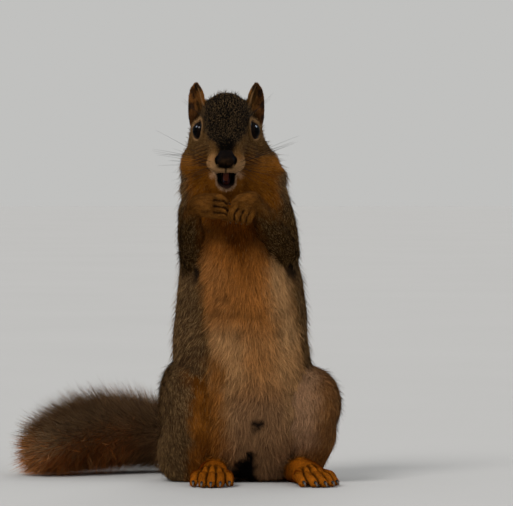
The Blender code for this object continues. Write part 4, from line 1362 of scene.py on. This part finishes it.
def build_nose():
    """The bare nose pad, with a comma-shaped nostril each side and the groove between."""
    rows, columns = 71, 91
    nostril = [(x, height, 0.0) for x, height in NOSTRIL]
    levels, half_widths, fronts = np.array(NOSE_SHAPE).T
    corners, painted_shade = [], []
    for height in np.linspace(levels[0], levels[-1], rows):
        half_width = np.interp(height, levels, half_widths)
        front = np.interp(height, levels, fronts)
        for turn in np.linspace(-1.75, 1.75, columns):
            x = half_width * math.copysign(abs(math.sin(turn)) ** 0.85, turn)
            y = -front + 0.6 * half_width * (1.0 - math.copysign(abs(math.cos(turn)) ** 0.6, math.cos(turn)))
            gap, along, _ = nearest_on_line(np.array([[abs(x), height, 0.0]]), nostril)
            slit = math.exp(-((gap[0] / (0.55 + 0.07 * along[0])) ** 2)) if abs(turn) < 1.5 else 0.0
            groove = math.exp(-((x / 0.45) ** 2)) * min(1.0, max(0.0, (0.5 - height) / 2.0))
            swell = 0.4 * math.exp(-(((abs(x) - 4.6) / 1.8) ** 2) - (((height + 0.5) / 2.5) ** 2))
            corners.append(np.array(NOSE_MIDDLE) + (x, y + 1.6 * slit + 0.6 * groove - swell, height))
            # Painted shade: darker in the nostrils and the groove, under the pad, and towards its top, where
            # it also runs into the dark fur of the bridge
            underside = min(1.0, max(0.0, (-1.6 - height) / 2.4))
            top = min(1.0, max(0.0, (height - 0.6) / 2.0))
            painted_shade.append(min(1.0, 1.3 * slit + 0.5 * groove + 0.85 * underside + 0.8 * top))
    nose = mesh_piece("nose_pad", to_frame(corners), grid_faces(rows, columns), NOSE_SKIN)
    put_attribute(nose.data, "painted_shade", "FLOAT", painted_shade)
    return nose


def tapered_tube(path, radii, sides):
    """Corners and faces of a closed thin tube along the path, of the given radii, capped flat at both ends.
    """
    path = np.asarray(path, float)
    forward = unit(np.gradient(path, axis=0))
    across = unit(np.cross(forward, (0.31, 0.22, 0.93)))
    up = np.cross(forward, across)
    swings = 2 * np.pi * np.arange(sides) / sides
    rings = (
        path[:, None]
        + across[:, None] * (np.cos(swings)[None, :, None] * radii[:, None, None])
        + up[:, None] * (np.sin(swings)[None, :, None] * radii[:, None, None])
    )
    faces = grid_faces(len(path), sides, closed=True)
    last = (len(path) - 1) * sides
    faces += [tuple(range(sides))[::-1], tuple(range(last, last + sides))]
    return rings.reshape(-1, 3), faces


def build_whiskers():
    """Stiff black hairs from the lip pads, the brows and the cheeks."""
    random = np.random.default_rng(12)
    corners, faces = [], []
    for side in (-1.0, 1.0):
        roots = []
        for row in range(4):
            for place in range(4):
                back = place / 3.0
                root = (side * (8.2 + 3.2 * back), -30.5 + 5.6 * back, -12.0 - 1.9 * row + 0.7 * back)
                way = (side * (0.85 - 0.08 * row), 0.14 + 0.28 * back - 0.25 * (row == 0), 0.30 - 0.22 * row)
                roots.append((root, way, 30.0 + 14.0 * back - 2.5 * row))
        for place in range(3):
            root = (side * (10.5 + 2.0 * place), -10.0 + 4.0 * place, 9.0)
            roots.append((root, (side * 0.8, 0.1, 0.75), 22.0))
        roots.append(((side * 18.0, -6.0, -14.0), (side * 0.95, 0.2, -0.1), 26.0))
        for root, way, length in roots:
            way = unit(np.array([way]) + random.normal(0.0, 0.07, (1, 3)))[0]
            droop = np.array((0.0, 0.30, -0.18)) * random.uniform(0.5, 1.4)
            steps = np.linspace(0.0, 1.0, 12)[:, None]
            length *= random.uniform(0.85, 1.12)
            path = np.array(root) + way * steps * length + droop * steps**2 * length * 0.45
            path[0] -= way * 1.5
            tube, sides = tapered_tube(path, 0.11 * (1.0 - steps[:, 0]) ** 0.8 + 0.02, 5)
            offset = sum(len(part) for part in corners)
            faces += [tuple(offset + corner for corner in face) for face in sides]
            corners.append(tube)
    return mesh_piece("whiskers", to_frame(np.concatenate(corners)), faces, WHISKER)


def smooth_copy(name, nodes, finish, rounds=2, swell=0.0):
    """The solids' own shapes joined in one mesh, rounded off by subdivision and swelled back to size."""
    obj = joined(name, [merged_copy(node) for node in nodes])
    finer = obj.modifiers.new("finer", "SUBSURF")
    finer.levels = finer.render_levels = rounds
    applied(obj)
    mesh = obj.data
    put_places(mesh, mesh_places(mesh) + mesh_normals(mesh) * swell * MM)
    mesh.update()
    dress(mesh, finish)
    return obj


def towards_tip(obj, nodes, reach):
    """Marks each corner with how near its own claw's or tooth's tip it is, from 0 to 1."""
    places = mesh_places(obj.data)
    result = np.zeros(len(places))
    best = np.full(len(places), np.inf)
    for node in nodes:
        low, high = (np.array(corner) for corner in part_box(node))
        middle = (low + high) / 2
        gap = np.linalg.norm(places - middle, axis=1)
        closer = gap < best
        best[closer] = gap[closer]
        result[closer] = reach(places[closer], low, high)
    put_attribute(obj.data, "to_tip", "FLOAT", result)


# Making the animal -----------------------------------------------------------

TUFTS = tuft_tree()
FUR_TONE = fur_tone()
EYE_GLOSS = eye_finish()
LID_SKIN = leather_finish("lid rim", (16, 11, 8), (36, 25, 17), 0.5, 0.1)
NOSE_SKIN = leather_finish("nose leather", (22, 13, 7), (42, 27, 14), 0.7, 0.0)
CLAW_HORN = horn_finish("claw horn", (16, 12, 10), (84, 72, 60), 0.4)
ENAMEL = horn_finish("tooth enamel", (66, 24, 11), (96, 42, 20), 0.45)
TONGUE = leather_finish("tongue", (36, 10, 8), (60, 18, 14), 0.55, 0.02)
WHISKER = whisker_finish()
SHORT_FUR = tuft_finish("short fur", 0.7)
LONG_FUR = tuft_finish("long fur", 0.62)
SKIN_FINISH = skin_finish()

# Each row of a blade: how far up it, and half its width there
SHORT_BLADES = blade_set("short_blades", ((0.0, 0.5), (0.55, 0.36)), 0.10)
FINE_BLADES = blade_set("fine_blades", ((0.0, 0.5),), 0.08)
LONG_BLADES = blade_set("long_blades", ((0.0, 0.5), (0.5, 0.42)), 0.14)

NAPE_ROUNDS = 70  # how many times the dip between head and neck is evened out

closed = lids_drawn_over(on_animal(mesh_places(skin.data)))
put_places(skin.data, (closed + FRAME_SHIFT) * MM)
skin.data.update()
outer = skin_fields(skin.data)
paints = markings(outer)
regions = region_of(outer)
values = coat_values(outer, paints)
nape = ramp(outer["places"][:, 1], 2.0, 8.0) * ramp(outer["places"][:, 2], 196.0, 206.0)
nape *= ramp(outer["places"][:, 2], 252.0, 244.0) * (outer["kinds"] != "ear")
settled = spread(lips_drawn_over(drawn_in(outer)), edge_pairs(skin.data), NAPE_ROUNDS, 0.7 * nape)
put_places(skin.data, (settled + FRAME_SHIFT) * MM)
skin.data.update()
dress(skin.data, SKIN_FINISH)
for key in ("coat_colour", "grizzle"):
    put_attribute(skin.data, key, *values[key])

triangles = read(skin.data, skin.data.polygons, "vertices", 3, np.int32)
triangle_regions = regions[triangles[:, 0]]
pieces = {}
for number, region in enumerate(sorted(set(regions))):
    chosen = triangles[triangle_regions == region]
    if not len(chosen):
        continue
    patch = skin_patch(region, skin.data, chosen, values)
    is_tail, is_fine = region.startswith("tail"), region.startswith(("hand", "foot", "ears"))
    is_face = region.startswith("face")
    name = region + "_coat"
    pieces[name] = grow(
        name, patch, 100 + 20 * number, LONG_BLADES if is_tail else FINE_BLADES if is_fine else SHORT_BLADES,
        LONG_FUR if is_tail else SHORT_FUR, thinning=1.0,
        stray=0.24 if is_fine or is_face else 0.32,
        wildness=0.12 if is_fine or is_tail or is_face else 0.4,
    )

skin_shape = BVHTree.FromObject(skin, bpy.context.evaluated_depsgraph_get())
for side in ("left", "right"):
    eye = build_eye(side)
    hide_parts("eye_" + side)
    pieces[eye.name] = eye
    lids = build_lids(side, skin_shape)
    pieces[lids.name] = lids
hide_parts(*flesh_nodes)
pieces["skin"] = skin
pieces["nose"] = build_nose()
pieces["whiskers"] = build_whiskers()

for kind in ("hand", "foot"):
    for side in ("left", "right"):
        nodes = [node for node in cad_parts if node.startswith(f"{kind}_claw_{side}")]
        claws = smooth_copy(f"{kind}_{side}_claws", nodes, CLAW_HORN, 2, 0.25)
        towards_tip(claws, nodes, lambda places, low, high: (high[1] - places[:, 1]) / (high[1] - low[1]))
        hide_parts(*nodes)
        pieces[claws.name] = claws
teeth = smooth_copy("front_teeth", ["incisors"], ENAMEL, 1)
towards_tip(teeth, ["incisors"], lambda places, low, high: (high[2] - places[:, 2]) / (high[2] - low[2]))
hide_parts("incisors")
pieces["teeth"] = teeth
tongue = smooth_copy("tongue_flesh", ["tongue"], TONGUE, 2)
put_attribute(tongue.data, "painted_shade", "FLOAT", np.zeros(len(tongue.data.vertices)))
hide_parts("tongue")
pieces["tongue"] = tongue
for piece in pieces.values():
    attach(piece, "root")


# Floor, light and camera -----------------------------------------------------


FLOOR_ACROSS = 30.0  # metres


def build_floor():
    bpy.ops.mesh.primitive_plane_add(size=FLOOR_ACROSS, location=(0.0, 0.0, 0.0))
    floor = bpy.context.object
    floor.name = "floor"
    floor.data.materials.append(floor_finish())


def sun(name, comes_from, strength, softness, tint, in_reflections):
    """An even light from far away, so that the floor is lit alike all round."""
    light = bpy.data.lights.new(name, "SUN")
    light.energy, light.angle, light.color = strength, math.radians(softness), tint
    lamp = object_of(name, light)
    lamp.rotation_euler = Vector(comes_from).to_track_quat("Z", "Y").to_euler()
    lamp.visible_glossy = in_reflections


def build_catchlight(name, place):
    """A small window of light that shows only as a glint in the eyes and on the nose."""
    light = bpy.data.lights.new(name, "AREA")
    light.shape, light.size, light.energy, light.color = "SQUARE", 0.36, 9.0, (0.70, 0.84, 1.0)
    lamp = object_of(name, light)
    lamp.location = at(place)
    lamp.rotation_euler = (lamp.location - at(HEAD_AT)).to_track_quat("Z", "Y").to_euler()
    lamp.visible_diffuse = lamp.visible_camera = False


def build_light():
    build_catchlight("window left", (-1000.0, -60.0, 1130.0))
    build_catchlight("window right", (900.0, 160.0, 1000.0))
    sun("key", (-0.9, -1.3, 1.5), 1.6, 22.0, (1.0, 0.97, 0.93), True)
    sun("fill", (1.3, -1.2, 0.9), 0.5, 60.0, (0.94, 0.97, 1.0), False)
    sun("rim", (0.2, 1.6, 1.2), 0.8, 40.0, (1.0, 0.98, 0.95), False)
    world = bpy.data.worlds.new("studio")
    bpy.context.scene.world = world
    world.use_nodes = True
    ground = world.node_tree.nodes["Background"]
    ground.inputs["Color"].default_value = colour4(226, 226, 224)
    n = Nodes(world.node_tree)
    in_eyes = n.made("ShaderNodeLightPath").outputs["Is Glossy Ray"]
    n.put(ground.inputs["Strength"], n.step(in_eyes, 0.0, 1.0, 0.7, 0.16))
    bpy.context.scene.view_settings.view_transform = "Standard"


CAMERA_FROM = (7.5, -3000.0, 215.0)
CAMERA_TO = (7.5, 0.0, 148.9)
MM_ACROSS = 333.45  # how wide the picture is at the animal


def build_camera():
    camera = object_of("camera", bpy.data.cameras.new("camera"))
    camera.location = at(CAMERA_FROM)
    camera.rotation_euler = (at(CAMERA_TO) - at(CAMERA_FROM)).to_track_quat("-Z", "Y").to_euler()
    camera.data.lens = camera.data.sensor_width * (CAMERA_TO[1] - CAMERA_FROM[1]) / MM_ACROSS
    camera.data.clip_end = 100.0
    bpy.context.scene.camera = camera


build_floor()
build_light()
build_camera()
